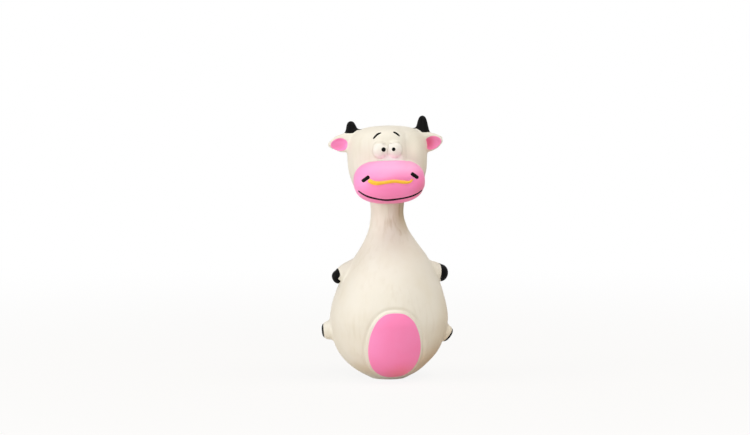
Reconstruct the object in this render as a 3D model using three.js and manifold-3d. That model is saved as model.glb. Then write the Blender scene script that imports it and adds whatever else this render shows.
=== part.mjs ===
// Squeaky dog toy: a sitting cow with a pear body, cast as one hollow skin of latex.
// The skin carries thin coats of coloured latex, and a push-in squeaker closes its foot.
// Millimetres. Z is up and the foot stands on Z = 0. The cow looks towards -Y.
// Left and right are those of someone who faces the cow: left is -X.
import * as THREE from 'three';
import { mergeVertices } from 'three/addons/utils/BufferGeometryUtils.js';
import Module from 'manifold-3d';

const wasm = await Module();
wasm.setup();

// Latex and its coats
const latexWall = 2.2;
const coatThickness = 0.5;
const seatGap = 0.3;
const overrun = 1;

// Body and neck, one pear on the Z axis
const bodyRadius = 30.3;
const neckRadius = 8.4;
const neckTop = 97;
const footRadius = 9.2;
// Swell from neck to belly, and height
const bodyOutlineShares = [
  [0.347, 0.041], [0.571, 0.084], [0.735, 0.126], [0.845, 0.168], [0.936, 0.227],
  [0.991, 0.289], [1, 0.32], [0.982, 0.358], [0.945, 0.4], [0.89, 0.442],
  [0.826, 0.485], [0.68, 0.557], [0.493, 0.632], [0.301, 0.696], [0.187, 0.738],
  [0.091, 0.779], [0.032, 0.822], [0, 0.864], [0.005, 0.907], [0.037, 0.959], [0.1, 1],
];

// Skull, a flat-topped drum on the neck
const headHalfWidth = 20.7;
const headHeight = 35.8;
const headSeat = 4;
const headDepthShare = 0.85;
const headTurnDegrees = -2.7;
const headLeanDegrees = -1.6;
const headOutlineShares = [
  [0, 0], [0.6, 0.03], [0.745, 0.069], [0.862, 0.166], [0.945, 0.304], [0.984, 0.414],
  [1, 0.62], [0.978, 0.78], [0.875, 0.885], [0.67, 0.95], [0.383, 0.987], [0, 1],
];

// Features of the head are placed by shares of its height

// Ridge down the forehead that carries the eyes
const ridgeHalfWidth = 9;
const ridgeHalfHeight = 13.2;
const ridgeHalfDepth = 8;
const ridgeHeightShare = 0.595;
const ridgeProud = 2.6;
const ridgeSquareness = 2.9;

// Muzzle
const muzzleHalfWidth = 18;
const muzzleHalfHeight = 11.3;
const muzzleHalfDepth = 15;
const muzzleHeightShare = 0.2346;
const muzzleProud = 11.2;
const muzzleSquareness = 2.5;
const muzzleRim = 0.7;

// Eyes, two balls let into the ridge
const eyeHalfWidth = 3.75;
const eyeHalfHeight = 4.4;
const eyeHalfDepth = 3.6;
const eyeSpacing = 7.3;
const eyeShift = -1;
const eyeHeightShare = 0.69;
const eyeProud = 2.1;
const pupilRadius = { left: 1.15, right: 0.95 };
const pupilShiftShares = { left: 0.5, right: -0.1 };

// Brows, each a short arched stroke: across from the eye's centre and up from it, by the eye's size
const browWidth = 0.7;
const browShares = {
  left: [[-0.9, 1.35], [-0.35, 1.82], [0.2, 2.03]],
  right: [[-0.15, 2.12], [0.25, 1.95], [0.72, 1.62]],
};

// Nostrils: centre by the muzzle's half sizes, and the slope of each slot
const nostrilLength = 4.9;
const nostrilWidth = 1.7;
const nostrilDepth = 0.5;
const nostrilSlopeDegrees = 36;
const nostrilShares = { left: [-0.66, 0.23], right: [0.7, 0.29] };

// Nose ring, a raised bead that droops between the nostrils
const ringRadius = 0.85;
const ringShares = [
  [-0.6, 0.15], [-0.51, 0.02], [-0.38, -0.05], [-0.12, 0.01],
  [0.13, 0.04], [0.42, -0.03], [0.54, 0], [0.63, 0.12],
];

// Smile
const mouthWidth = 0.7;
const mouthShares = [
  [-0.9, -0.34], [-0.77, -0.5], [-0.6, -0.63], [-0.37, -0.73], [-0.13, -0.79],
  [0.13, -0.77], [0.37, -0.72], [0.59, -0.65], [0.77, -0.54], [0.91, -0.4],
];

// Ears, leaves with a scooped front
const earProud = { left: 9.6, right: 8.4 };
const earSunk = 4.3;
const earHalfHeight = 4.8;
const earHalfThickness = 2.3;
const earHeightShares = { left: 0.7626, right: 0.7989 };
const earRiseDegrees = { left: -5, right: 10 };
const earForwardDegrees = 8;
const earForwardShare = 0.17;
const earOutlineShares = [
  [0.9, 0], [0.99, 0.2], [1, 0.38], [0.9, 0.57], [0.68, 0.74], [0.38, 0.89], [0.18, 0.97],
];
const earCupLengthShare = 0.39;
const earCupCentreShare = 0.55;
const earCupHeightShare = 0.66;
const earCupDrop = 0.6;

// Horns, cones with a flared base and a round tip
const hornBaseRadius = 4;
const hornLength = { left: 8.2, right: 10.2 };
const hornSpacingShare = 0.861;
const hornHeightShare = 0.8547;
const hornLeanDegrees = { left: 6, right: 2 };
const hornOutlineShares = [
  [1, 0], [0.97, 0.14], [0.88, 0.33], [0.74, 0.52], [0.6, 0.7], [0.42, 0.86], [0.22, 0.965],
];
// The black of the horns ends at this height, a share of the head's
const hornPaintShare = 0.903;

// Legs, short stubs at the sides: the fore pair under the neck, the hind pair at the belly
// Each tip stands proud of the body's side at its height, a share of the neck's top
const foreLegs = {
  left: {
    rootRadius: 6, tipRadius: 4.1, endRound: 3.6, length: 14.5, proud: 4.2, heightShare: 0.525,
    forwardDegrees: 10, riseDegrees: -25, hoofDepth: 3.1, hoofTiltDegrees: 25,
  },
  right: {
    rootRadius: 6.7, tipRadius: 5, endRound: 4.3, length: 14.5, proud: 6.7, heightShare: 0.5526,
    forwardDegrees: -15, riseDegrees: -5, hoofDepth: 3.7, hoofTiltDegrees: 0,
  },
};
const hindLegs = {
  left: {
    rootRadius: 6.2, tipRadius: 4.9, endRound: 3.2, length: 12, proud: 4.6, heightShare: 0.2495,
    forwardDegrees: -6, riseDegrees: -5, hoofDepth: 1.1, hoofTiltDegrees: 0,
  },
  right: {
    rootRadius: 6, tipRadius: 4.7, endRound: 2.4, length: 12, proud: 3.3, heightShare: 0.2124,
    forwardDegrees: -4, riseDegrees: -36, hoofDepth: 1.1, hoofTiltDegrees: 0,
  },
};
const legStemShares = [[1, 0], [0.9, 0.25], [0.6, 0.5], [0.28, 0.75], [0.06, 0.94]];
// The left fore hoof's black has a bare notch in front
const notchWidth = 3;
const notchDepth = 1.4;

// Belly patch, an egg on a low raised pad
const patchHalfWidth = 13.3;
const patchShift = 0.7;
const patchTopShare = 0.3736;
const patchBottomShare = 0.0196;
const patchRim = 1;
const patchRaise = 0.5;
// Half width and height up the patch, from its foot to its top
const patchOutlineShares = [
  [0.3, 0.012], [0.56, 0.06], [0.78, 0.145], [0.94, 0.28], [1, 0.46],
  [0.92, 0.68], [0.7, 0.87], [0.4, 0.972], [0.14, 0.998],
];

// Squeaker: a push-in plug in the foot, with a reed clamped on a seat inside its barrel
const plugInset = 0.5;
const plugFlangeRadius = 6.5;
const plugFlangeThickness = 1.2;
const plugNeckRadius = 5;
const plugGripRadius = 6.1;
const plugGripHeight = 1.3;
const plugBarrelRadius = 4.6;
const plugBarrelHeight = 11;
const plugBoreRadius = 3.2;
const plugFloor = 1.5;
const soundHoleRadius = 0.8;
const footThickness = 2;
const footBossWall = 1.6;
const reedSeatLength = 12.5;
const reedChannelWidth = 2.6;
const reedChannelDepth = 1.8;
const reedChannelEnd = 2;
const reedClampLength = 4;
const reedThickness = 0.3;
const reedWidth = 4.4;
const reedEndSpace = 0.5;

// Fineness of the facets
const roundSegments = 28;
const outlineSteps = 17;
const headSteps = 10;
const muzzleSegments = 18;
const muzzleRings = 10;
const smallSegments = 12;
const smallSteps = 6;
const hiddenShare = 0.85;

const colours = {
  cream: 0xf3ebdd, pink: 0xf98fc2, bellyPink: 0xfd8abb, white: 0xf8f6ef,
  black: 0x161616, yellow: 0xf7c43e, clearPlastic: 0xe9eef0, reed: 0xd9dde0,
};

const radians = THREE.MathUtils.degToRad;
const sideSign = { left: -1, right: 1 };

// Heights on the head and the body
const headBottom = neckTop - headSeat;
const ridgeHeight = headBottom + headHeight * ridgeHeightShare;
const muzzleHeight = headBottom + headHeight * muzzleHeightShare;
const eyeHeight = headBottom + headHeight * eyeHeightShare;
const hornHeight = headBottom + headHeight * hornHeightShare;
const hornPaintBottom = headBottom + headHeight * hornPaintShare;
const patchTop = neckTop * patchTopShare;
const patchBottom = neckTop * patchBottomShare;

// Heights that follow from the squeaker's own sizes
const plugFlangeTop = plugInset + plugFlangeThickness;
const socketDepth = plugFlangeTop + seatGap;
const footFloor = socketDepth + footThickness;
const plugGripBottom = footFloor + seatGap;
const plugGripTop = plugGripBottom + plugGripHeight;
const plugTop = plugGripTop + plugBarrelHeight;
const plugBoreFloor = plugInset + plugFloor;
const reedSeatBottom = plugBoreFloor + seatGap;
const reedFaceOffset = seatGap;
const reedClampOffset = reedFaceOffset + reedThickness + seatGap;

// A closed geometry becomes a solid: shared corners are merged and collapsed facets dropped
function solid(geometry) {
  const bare = geometry.clone();
  bare.deleteAttribute('normal');
  bare.deleteAttribute('uv');
  const merged = mergeVertices(bare);
  const places = merged.attributes.position;
  const corners = [];
  let sixVolumes = 0;
  const a = new THREE.Vector3();
  const b = new THREE.Vector3();
  const c = new THREE.Vector3();
  for (let i = 0; i < merged.index.count; i += 3) {
    const [p, q, r] = [0, 1, 2].map((step) => merged.index.getX(i + step));
    if (p === q || q === r || r === p) continue;
    corners.push(p, q, r);
    a.fromBufferAttribute(places, p);
    b.fromBufferAttribute(places, q);
    c.fromBufferAttribute(places, r);
    sixVolumes += a.dot(b.cross(c));
  }
  if (sixVolumes < 0) corners.reverse();
  return new wasm.Manifold(new wasm.Mesh({
    numProp: 3,
    vertProperties: Float32Array.from(places.array),
    triVerts: Uint32Array.from(corners),
  }));
}

function join(...solids) {
  return solids.reduce((whole, next) => whole.add(next));
}

function cut(whole, ...tools) {
  return tools.reduce((rest, tool) => rest.subtract(tool), whole);
}

// A smooth outline through [radius, height] points, moved outward by grow along its normals
function smoothOutline(points, steps, grow) {
  const curve = new THREE.SplineCurve(points.map(([r, z]) => new THREE.Vector2(r, z)));
  return Array.from({ length: steps + 1 }, (_, step) => {
    const share = step / steps;
    const point = curve.getPoint(share);
    const along = curve.getTangent(share);
    const onAxis = point.x === 0;
    const radius = onAxis ? 0 : Math.max(0, point.x + along.y * grow);
    const lift = onAxis ? Math.sign(-along.x) * grow : -along.x * grow;
    return new THREE.Vector2(radius, point.y + lift);
  });
}

// Turns an outline about the Z axis, closing it along the axis at both ends
function revolve(outline, segments) {
  const closed = [new THREE.Vector2(0, outline[0].y), ...outline];
  closed.push(new THREE.Vector2(0, outline[outline.length - 1].y));
  return new THREE.LatheGeometry(closed, segments).rotateX(Math.PI / 2);
}

// A ball squared off by its exponent: 2 is an ellipsoid, more is boxier
function softBlock(half, squareness, segments, rings) {
  const geometry = new THREE.SphereGeometry(1, segments, rings);
  const places = geometry.attributes.position;
  const point = new THREE.Vector3();
  for (let i = 0; i < places.count; i += 1) {
    point.fromBufferAttribute(places, i);
    const size = Math.abs(point.x) ** squareness + Math.abs(point.y) ** squareness
      + Math.abs(point.z) ** squareness;
    point.multiplyScalar(size ** (-1 / squareness)).multiply(half);
    places.setXYZ(i, point.x, point.y, point.z);
  }
  return geometry;
}

// A box given by its lowest and highest corners
function block(low, high) {
  const size = new THREE.Vector3().subVectors(high, low);
  const middle = new THREE.Vector3().addVectors(low, high).divideScalar(2);
  return new THREE.BoxGeometry(size.x, size.y, size.z).translate(middle.x, middle.y, middle.z);
}

// A bar of the given width along [x, z] points with round ends, driven in from the front up to back
function stroke(points, width, steps, back) {
  const curve = new THREE.SplineCurve(points.map(([x, z]) => new THREE.Vector2(x, z)));
  const edges = { near: [], far: [] };
  for (let step = 0; step <= steps; step += 1) {
    const point = curve.getPoint(step / steps);
    const along = curve.getTangent(step / steps);
    const across = new THREE.Vector2(-along.y, along.x).multiplyScalar(width / 2);
    edges.near.push(point.clone().add(across));
    edges.far.push(point.clone().sub(across));
  }
  const cap = (centre, along, turn) => [1, 2, 3].map((part) => {
    const angle = along.angle() + turn * (Math.PI / 2) - turn * (part * Math.PI) / 4;
    return centre.clone().add(new THREE.Vector2(Math.cos(angle), Math.sin(angle)).multiplyScalar(width / 2));
  });
  const start = cap(curve.getPoint(0), curve.getTangent(0).negate(), 1);
  const end = cap(curve.getPoint(1), curve.getTangent(1), 1);
  const outline = [...edges.near, ...end, ...edges.far.reverse(), ...start];
  const depth = headHalfWidth * 2;
  const bar = new THREE.ExtrudeGeometry(new THREE.Shape(outline), { depth, bevelEnabled: false });
  return bar.rotateX(Math.PI / 2).translate(0, back, 0);
}

// The head's own turn and lean on the neck
const headPlace = new THREE.Matrix4().makeTranslation(0, 0, headBottom)
  .multiply(new THREE.Matrix4().makeRotationZ(radians(headTurnDegrees)))
  .multiply(new THREE.Matrix4().makeRotationY(radians(headLeanDegrees)))
  .multiply(new THREE.Matrix4().makeTranslation(0, 0, -headBottom));

function onHead(geometry) {
  return solid(geometry.applyMatrix4(headPlace));
}

// Stands a piece made along +Z on a point, with its own +Y towards the back
function pointed(geometry, foot, direction) {
  const along = direction.clone().normalize();
  const back = new THREE.Vector3(0, 1, 0).addScaledVector(along, -along.y).normalize();
  const across = new THREE.Vector3().crossVectors(back, along);
  const place = new THREE.Matrix4().makeBasis(across, back, along).setPosition(foot);
  return geometry.applyMatrix4(place);
}

// Direction out to one side, swung forward and up by two angles
function sideways(side, forwardDegrees, riseDegrees) {
  const forward = radians(forwardDegrees);
  const rise = radians(riseDegrees);
  return new THREE.Vector3(
    sideSign[side] * Math.cos(forward) * Math.cos(rise),
    -Math.sin(forward) * Math.cos(rise),
    Math.sin(rise),
  );
}

// Forms, each a closed solid whose surface can be moved in or out by grow

function bodyOutline(grow, steps) {
  const outline = bodyOutlineShares.map(([swell, height]) => [
    neckRadius + (bodyRadius - neckRadius) * swell, neckTop * height,
  ]);
  return smoothOutline([[footRadius, 0], ...outline], steps, grow);
}

function bodyForm(grow, fineness = 1) {
  const steps = Math.round(outlineSteps * fineness);
  const segments = Math.round(roundSegments * fineness);
  return solid(revolve(bodyOutline(grow, steps), segments));
}

// The body's radius at a height
function bodySide(height) {
  const outline = bodyOutline(0, outlineSteps);
  const above = outline.findIndex((point) => point.y >= height);
  const [low, high] = [outline[above - 1], outline[above]];
  return THREE.MathUtils.mapLinear(height, low.y, high.y, low.x, high.x);
}

function headForm(grow, fineness = 1) {
  const outline = headOutlineShares.map(([r, z]) => [headHalfWidth * r, headBottom + headHeight * z]);
  const steps = Math.round(headSteps * fineness);
  const segments = Math.round(roundSegments * fineness);
  const drum = revolve(smoothOutline(outline, steps, grow), segments);
  return onHead(drum.scale(1, headDepthShare, 1));
}

const headFront = -headHalfWidth * headDepthShare;

function ridgeForm(grow) {
  const half = new THREE.Vector3(ridgeHalfWidth, ridgeHalfDepth, ridgeHalfHeight).addScalar(grow);
  const ridge = softBlock(half, ridgeSquareness, smallSegments, smallSteps + 1);
  return onHead(ridge.translate(0, headFront - ridgeProud + ridgeHalfDepth, ridgeHeight));
}

const muzzleFront = headFront - muzzleProud;
const muzzleCentreDepth = muzzleFront + muzzleHalfDepth;

function muzzleForm(grow, fineness = 1) {
  const half = new THREE.Vector3(muzzleHalfWidth, muzzleHalfDepth, muzzleHalfHeight).addScalar(grow);
  const segments = Math.round(muzzleSegments * fineness);
  const rings = Math.round(muzzleRings * fineness);
  const muzzle = softBlock(half, muzzleSquareness, segments, rings);
  return onHead(muzzle.translate(0, muzzleCentreDepth, muzzleHeight));
}

const eyeCentreDepth = headFront - ridgeProud - eyeProud + eyeHalfDepth;
const eyeCentre = (side) => eyeShift + (sideSign[side] * eyeSpacing) / 2;

function eyeForm(side, grow) {
  const half = new THREE.Vector3(eyeHalfWidth, eyeHalfDepth, eyeHalfHeight).addScalar(grow);
  const ball = softBlock(half, 2, smallSegments, smallSteps + 1);
  return onHead(ball.translate(eyeCentre(side), eyeCentreDepth, eyeHeight));
}

function pupilBar(side, grow) {
  const radius = pupilRadius[side] + grow;
  const centre = eyeCentre(side) + eyeHalfWidth * pupilShiftShares[side];
  const bar = new THREE.CylinderGeometry(radius, radius, headHalfWidth * 2, smallSegments);
  return onHead(bar.translate(centre, -headHalfWidth, eyeHeight));
}

function browBar(side, width) {
  const points = browShares[side].map(([x, z]) => [
    eyeCentre(side) + eyeHalfWidth * x, eyeHeight + eyeHalfHeight * z,
  ]);
  return onHead(stroke(points, width, smallSteps - 2, 0));
}

function nostrilBar(side, width) {
  const [x, z] = nostrilShares[side];
  const slope = radians(nostrilSlopeDegrees) * -sideSign[side];
  const reach = (nostrilLength - nostrilWidth) / 2;
  const points = [-reach, 0, reach].map((along) => [
    muzzleHalfWidth * x + along * Math.cos(slope),
    muzzleHeight + muzzleHalfHeight * z + along * Math.sin(slope),
  ]);
  return onHead(stroke(points, width, 2, muzzleCentreDepth));
}

function mouthBar(width) {
  const points = mouthShares.map(([x, z]) => [muzzleHalfWidth * x, muzzleHeight + muzzleHalfHeight * z]);
  return onHead(stroke(points, width, mouthShares.length + 2, muzzleCentreDepth));
}

// A point on the muzzle's surface, by shares of its half width and half height
function onMuzzle(x, z) {
  const rest = 1 - Math.abs(x) ** muzzleSquareness - Math.abs(z) ** muzzleSquareness;
  const depth = muzzleHalfDepth * rest ** (1 / muzzleSquareness);
  return new THREE.Vector3(
    muzzleHalfWidth * x, muzzleCentreDepth - depth, muzzleHeight + muzzleHalfHeight * z,
  );
}

function ringBead(grow) {
  const path = new THREE.CatmullRomCurve3(ringShares.map(([x, z]) => onMuzzle(x, z)));
  const section = new THREE.Shape().absarc(0, 0, ringRadius + grow, 0, Math.PI * 2);
  const bead = new THREE.ExtrudeGeometry(section, {
    steps: ringShares.length * 2, curveSegments: smallSteps - 2, extrudePath: path,
  });
  return onHead(bead);
}

const earLength = (side) => earProud[side] + earSunk;

function earPlace(side, geometry) {
  const direction = sideways(side, earForwardDegrees, earRiseDegrees[side]);
  const reach = headHalfWidth + earProud[side];
  const height = headBottom + headHeight * earHeightShares[side];
  const tip = new THREE.Vector3(sideSign[side] * reach, headFront * earForwardShare, height);
  const root = tip.addScaledVector(direction, -earLength(side));
  return onHead(pointed(geometry, root, direction));
}

function earForm(side, grow) {
  const length = earLength(side);
  const outline = earOutlineShares.map(([r, z]) => [earHalfHeight * r, length * z]);
  const leaf = revolve(smoothOutline([...outline, [0, length]], smallSteps, grow), smallSegments);
  return earPlace(side, leaf.scale(1, earHalfThickness / earHalfHeight, 1));
}

function earCup(side, grow) {
  const length = earLength(side);
  const half = new THREE.Vector3(
    earHalfHeight * earCupHeightShare, earHalfThickness, length * earCupLengthShare,
  ).addScalar(grow);
  const cup = softBlock(half, 2, smallSegments, smallSteps + 1);
  const drop = sideSign[side] * earCupDrop;
  return earPlace(side, cup.translate(drop, -earHalfThickness, length * earCupCentreShare));
}

function hornForm(side, grow) {
  const length = hornLength[side];
  const outline = hornOutlineShares.map(([r, z]) => [hornBaseRadius * r, length * z]);
  const horn = revolve(smoothOutline([...outline, [0, length]], smallSteps, grow), smallSegments);
  const lean = radians(hornLeanDegrees[side]) * sideSign[side];
  const direction = new THREE.Vector3(Math.sin(lean), 0, Math.cos(lean));
  const foot = new THREE.Vector3(sideSign[side] * headHalfWidth * hornSpacingShare, 0, hornHeight);
  return onHead(pointed(horn, foot, direction));
}

function legPlace(leg, side, geometry) {
  const direction = sideways(side, leg.forwardDegrees, leg.riseDegrees);
  const height = neckTop * leg.heightShare;
  const reach = bodySide(height) + leg.proud;
  const tip = new THREE.Vector3(sideSign[side] * reach, 0, height);
  const root = tip.addScaledVector(direction, -leg.length);
  root.y = 0;
  return solid(pointed(geometry, root, direction));
}

function legForm(leg, side, grow) {
  const outline = legStemShares.map(([r, z]) => [
    leg.tipRadius + (leg.rootRadius - leg.tipRadius) * r, (leg.length - leg.endRound) * z,
  ]);
  const arc = [0, 1, 2, 3].map((part) => {
    const angle = (part * Math.PI) / 6;
    return [
      leg.tipRadius - leg.endRound * (1 - Math.cos(angle)),
      leg.length - leg.endRound * (1 - Math.sin(angle)),
    ];
  });
  return legPlace(leg, side, revolve(smoothOutline([...outline, ...arc], smallSteps + 2, grow), smallSegments));
}

// The end of a leg beyond a plane across it, for its hoof
function hoofRegion(leg, side, extra) {
  const reach = leg.rootRadius + overrun;
  const end = block(
    new THREE.Vector3(-reach, -reach, -leg.hoofDepth - extra),
    new THREE.Vector3(reach, reach, reach),
  );
  const region = legPlace(leg, side, onTilt(leg, side, end));
  return leg === foreLegs.left ? cut(region, hoofNotch(leg, side, extra)) : region;
}

// Tilts a cutter about the leg's tip
function onTilt(leg, side, geometry) {
  return geometry.rotateY(-sideSign[side] * radians(leg.hoofTiltDegrees)).translate(0, 0, leg.length);
}

// The bare notch in the front of a hoof, a wedge that points to the leg's tip
function hoofNotch(leg, side, shrink) {
  const wedge = new THREE.Shape([
    new THREE.Vector2(0, notchDepth - shrink - leg.hoofDepth),
    new THREE.Vector2(-notchWidth / 2, -leg.hoofDepth - shrink),
    new THREE.Vector2(notchWidth / 2, -leg.hoofDepth - shrink),
  ]);
  const reach = leg.rootRadius + overrun;
  const bar = new THREE.ExtrudeGeometry(wedge, { depth: reach, bevelEnabled: false });
  return legPlace(leg, side, onTilt(leg, side, bar.rotateX(Math.PI / 2)));
}

// The egg outline of the belly patch, moved outward by grow and driven in from the front
function patchBar(grow) {
  const height = patchTop - patchBottom;
  const half = patchOutlineShares.map(([x, z]) => [
    patchHalfWidth * x, patchBottom + height * z,
  ]);
  const right = smoothOutline([[0, patchBottom], ...half, [0, patchTop]], smallSteps * 2, grow);
  const left = right.slice(1, -1).reverse().map((point) => new THREE.Vector2(-point.x, point.y));
  const bar = new THREE.ExtrudeGeometry(new THREE.Shape([...right, ...left]), {
    depth: bodyRadius + overrun, bevelEnabled: false,
  });
  return solid(bar.rotateX(Math.PI / 2).translate(patchShift, 0, 0));
}

// A coat lies flush in a pocket of the same form: this is the coat's own layer
function layer(form, depth = 0) {
  return form(-depth).subtract(form(-depth - coatThickness));
}

// and this the pocket that clears it, open to the outside
function pocket(form, depth = 0) {
  return form(overrun).subtract(form(-depth - coatThickness - seatGap));
}

// Pieces

const sides = ['left', 'right'];
const bothSides = (make) => sides.map(make);

function squeakerSocket() {
  const mouth = new THREE.CylinderGeometry(
    plugFlangeRadius + seatGap, plugFlangeRadius + seatGap, socketDepth + overrun, smallSegments * 2,
  ).rotateX(Math.PI / 2).translate(0, 0, (socketDepth - overrun) / 2);
  const holeHeight = footFloor + overrun;
  const hole = new THREE.CylinderGeometry(
    plugNeckRadius + seatGap, plugNeckRadius + seatGap, holeHeight, smallSegments * 2,
  ).rotateX(Math.PI / 2).translate(0, 0, holeHeight / 2);
  return join(solid(mouth), solid(hole));
}

function airChamber() {
  const radius = plugFlangeRadius + seatGap + footBossWall;
  const boss = new THREE.CylinderGeometry(radius, radius, footFloor * 2, smallSegments * 2)
    .rotateX(Math.PI / 2);
  const hollow = join(
    bodyForm(-latexWall, hiddenShare),
    headForm(-latexWall, hiddenShare),
    muzzleForm(-latexWall, hiddenShare),
  );
  return cut(hollow, solid(boss));
}

function latexSkin() {
  const coreDepth = coatThickness + seatGap;
  const face = join(headForm(0), ridgeForm(0));
  const eyes = join(...bothSides((side) => eyeForm(side, -coreDepth)));
  const horns = join(...bothSides((side) => join(
    hornForm(side, -coreDepth), cut(hornForm(side, 0), hornPaintSpace(seatGap)),
  )));
  const ears = join(...bothSides((side) => cut(earForm(side, 0), earCup(side, coreDepth))));
  const browed = cut(face, ...bothSides((side) => (
    browBar(side, browWidth + seatGap * 2).intersect(pocket(faceForm))
  )));
  const muzzlePocket = cut(pocket(muzzleForm), paintBounds(muzzleRim - seatGap));
  const nostrils = bothSides((side) => (
    nostrilBar(side, nostrilWidth + seatGap * 2).intersect(pocket(muzzleForm, nostrilDepth))
  ));
  const muzzle = cut(muzzleForm(0), muzzlePocket, ...nostrils);
  const pad = bodyForm(patchRaise).intersect(patchBar(patchRim));
  const padPocket = cut(bodyForm(patchRaise + overrun), bodyForm(patchRaise - coreDepth))
    .intersect(patchBar(seatGap));
  const body = cut(join(bodyForm(0), pad), padPocket);
  const legs = join(...[foreLegs, hindLegs].flatMap((pair) => bothSides((side) => {
    const leg = pair[side];
    const hoofPocket = pocket((grow) => legForm(leg, side, grow)).intersect(hoofRegion(leg, side, seatGap));
    return cut(legForm(leg, side, 0), hoofPocket);
  })));
  return cut(join(body, legs, browed, eyes, muzzle, ears, horns), airChamber(), squeakerSocket());
}

// The space above the lower edge of the horns' black
function hornPaintSpace(extra) {
  const reach = headHalfWidth * 2;
  const low = new THREE.Vector3(-reach, -reach, hornPaintBottom - extra);
  return onHead(block(low, new THREE.Vector3(reach, reach, headBottom + headHeight * 2)));
}

function faceForm(grow) {
  return join(headForm(grow), ridgeForm(grow));
}

// What the muzzle's pink stops short of: skull, ridge, eyes and neck
function paintBounds(grow) {
  return join(faceForm(grow), ...bothSides((side) => eyeForm(side, grow)), bodyForm(grow));
}

function muzzleCoat() {
  const strokes = [
    mouthBar(mouthWidth + seatGap * 2),
    ringBead(seatGap),
    ...bothSides((side) => nostrilBar(side, nostrilWidth + seatGap * 2)),
  ];
  return cut(layer(muzzleForm), paintBounds(muzzleRim), ...strokes);
}

function bellyCoat() {
  return cut(bodyForm(patchRaise), bodyForm(patchRaise - coatThickness)).intersect(patchBar(0));
}

function eyeWhite(side) {
  const other = side === 'left' ? 'right' : 'left';
  return cut(
    layer((grow) => eyeForm(side, grow)),
    faceForm(seatGap), eyeForm(other, seatGap), muzzleForm(seatGap), pupilBar(side, seatGap),
  );
}

function pupil(side) {
  return layer((grow) => eyeForm(side, grow)).intersect(pupilBar(side, 0))
    .subtract(faceForm(seatGap));
}

function earCoat(side) {
  return cut(earForm(side, 0).intersect(cut(earCup(side, coatThickness), earCup(side, 0))), headForm(seatGap));
}

function hornCoat(side) {
  return cut(layer((grow) => hornForm(side, grow)), headForm(seatGap), earForm(side, seatGap))
    .intersect(hornPaintSpace(0));
}

function hoofCoat(leg, side) {
  return cut(layer((grow) => legForm(leg, side, grow)), bodyForm(seatGap))
    .intersect(hoofRegion(leg, side, 0));
}

function plugBody() {
  const outline = [
    [plugFlangeRadius, plugInset], [plugFlangeRadius, plugFlangeTop],
    [plugNeckRadius, plugFlangeTop], [plugNeckRadius, plugGripBottom],
    [plugGripRadius, plugGripBottom], [plugBarrelRadius, plugGripTop],
    [plugBarrelRadius, plugTop],
  ].map(([r, z]) => new THREE.Vector2(r, z));
  const boreHeight = plugTop - plugBoreFloor + overrun;
  const bore = new THREE.CylinderGeometry(plugBoreRadius, plugBoreRadius, boreHeight, smallSegments * 2)
    .rotateX(Math.PI / 2).translate(0, 0, plugBoreFloor + boreHeight / 2);
  const hole = new THREE.CylinderGeometry(soundHoleRadius, soundHoleRadius, plugTop, smallSegments)
    .rotateX(Math.PI / 2).translate(0, -reedChannelDepth / 2, 0);
  return cut(solid(revolve(outline, smallSegments * 2)), solid(bore), solid(hole));
}

// Half of a round bar in the barrel, its flat face at the given distance from the axis
function halfBar(offset, direction, length) {
  const radius = plugBoreRadius - seatGap;
  const edge = Math.asin(offset / radius);
  const half = new THREE.Shape().absarc(0, 0, radius, edge, Math.PI - edge);
  const bar = new THREE.ExtrudeGeometry(half, {
    depth: length, bevelEnabled: false, curveSegments: smallSegments,
  });
  return bar.rotateZ(direction > 0 ? 0 : Math.PI).translate(0, 0, reedSeatBottom);
}

function reedSeat() {
  const channel = block(
    new THREE.Vector3(-reedChannelWidth / 2, -reedChannelDepth, reedSeatBottom - overrun),
    new THREE.Vector3(reedChannelWidth / 2, overrun, reedSeatBottom + reedSeatLength - reedChannelEnd),
  );
  return cut(solid(halfBar(0, -1, reedSeatLength)), solid(channel));
}

function reedClamp() {
  return solid(halfBar(reedClampOffset, 1, reedClampLength));
}

function reed() {
  return solid(block(
    new THREE.Vector3(-reedWidth / 2, reedFaceOffset, reedSeatBottom + reedEndSpace),
    new THREE.Vector3(reedWidth / 2, reedFaceOffset + reedThickness,
      reedSeatBottom + reedSeatLength - reedEndSpace),
  ));
}

// Finishes
const finishes = {
  cream: { color: colours.cream, roughness: 0.6, metalness: 0 },
  pink: { color: colours.pink, roughness: 0.55, metalness: 0 },
  bellyPink: { color: colours.bellyPink, roughness: 0.55, metalness: 0 },
  white: { color: colours.white, roughness: 0.5, metalness: 0 },
  black: { color: colours.black, roughness: 0.4, metalness: 0 },
  yellow: { color: colours.yellow, roughness: 0.5, metalness: 0 },
  plastic: { color: colours.clearPlastic, roughness: 0.35, metalness: 0 },
  reedFilm: { color: colours.reed, roughness: 0.3, metalness: 0 },
};

const toy = new THREE.Group();

function add(name, shape, finish) {
  const mesh = shape.getMesh();
  const geometry = new THREE.BufferGeometry();
  geometry.setAttribute('position', new THREE.BufferAttribute(mesh.vertProperties, mesh.numProp));
  geometry.setIndex(new THREE.BufferAttribute(mesh.triVerts, 1));
  geometry.computeVertexNormals();
  const piece = new THREE.Mesh(geometry, new THREE.MeshStandardMaterial(finishes[finish]));
  piece.name = name;
  toy.add(piece);
}

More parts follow.
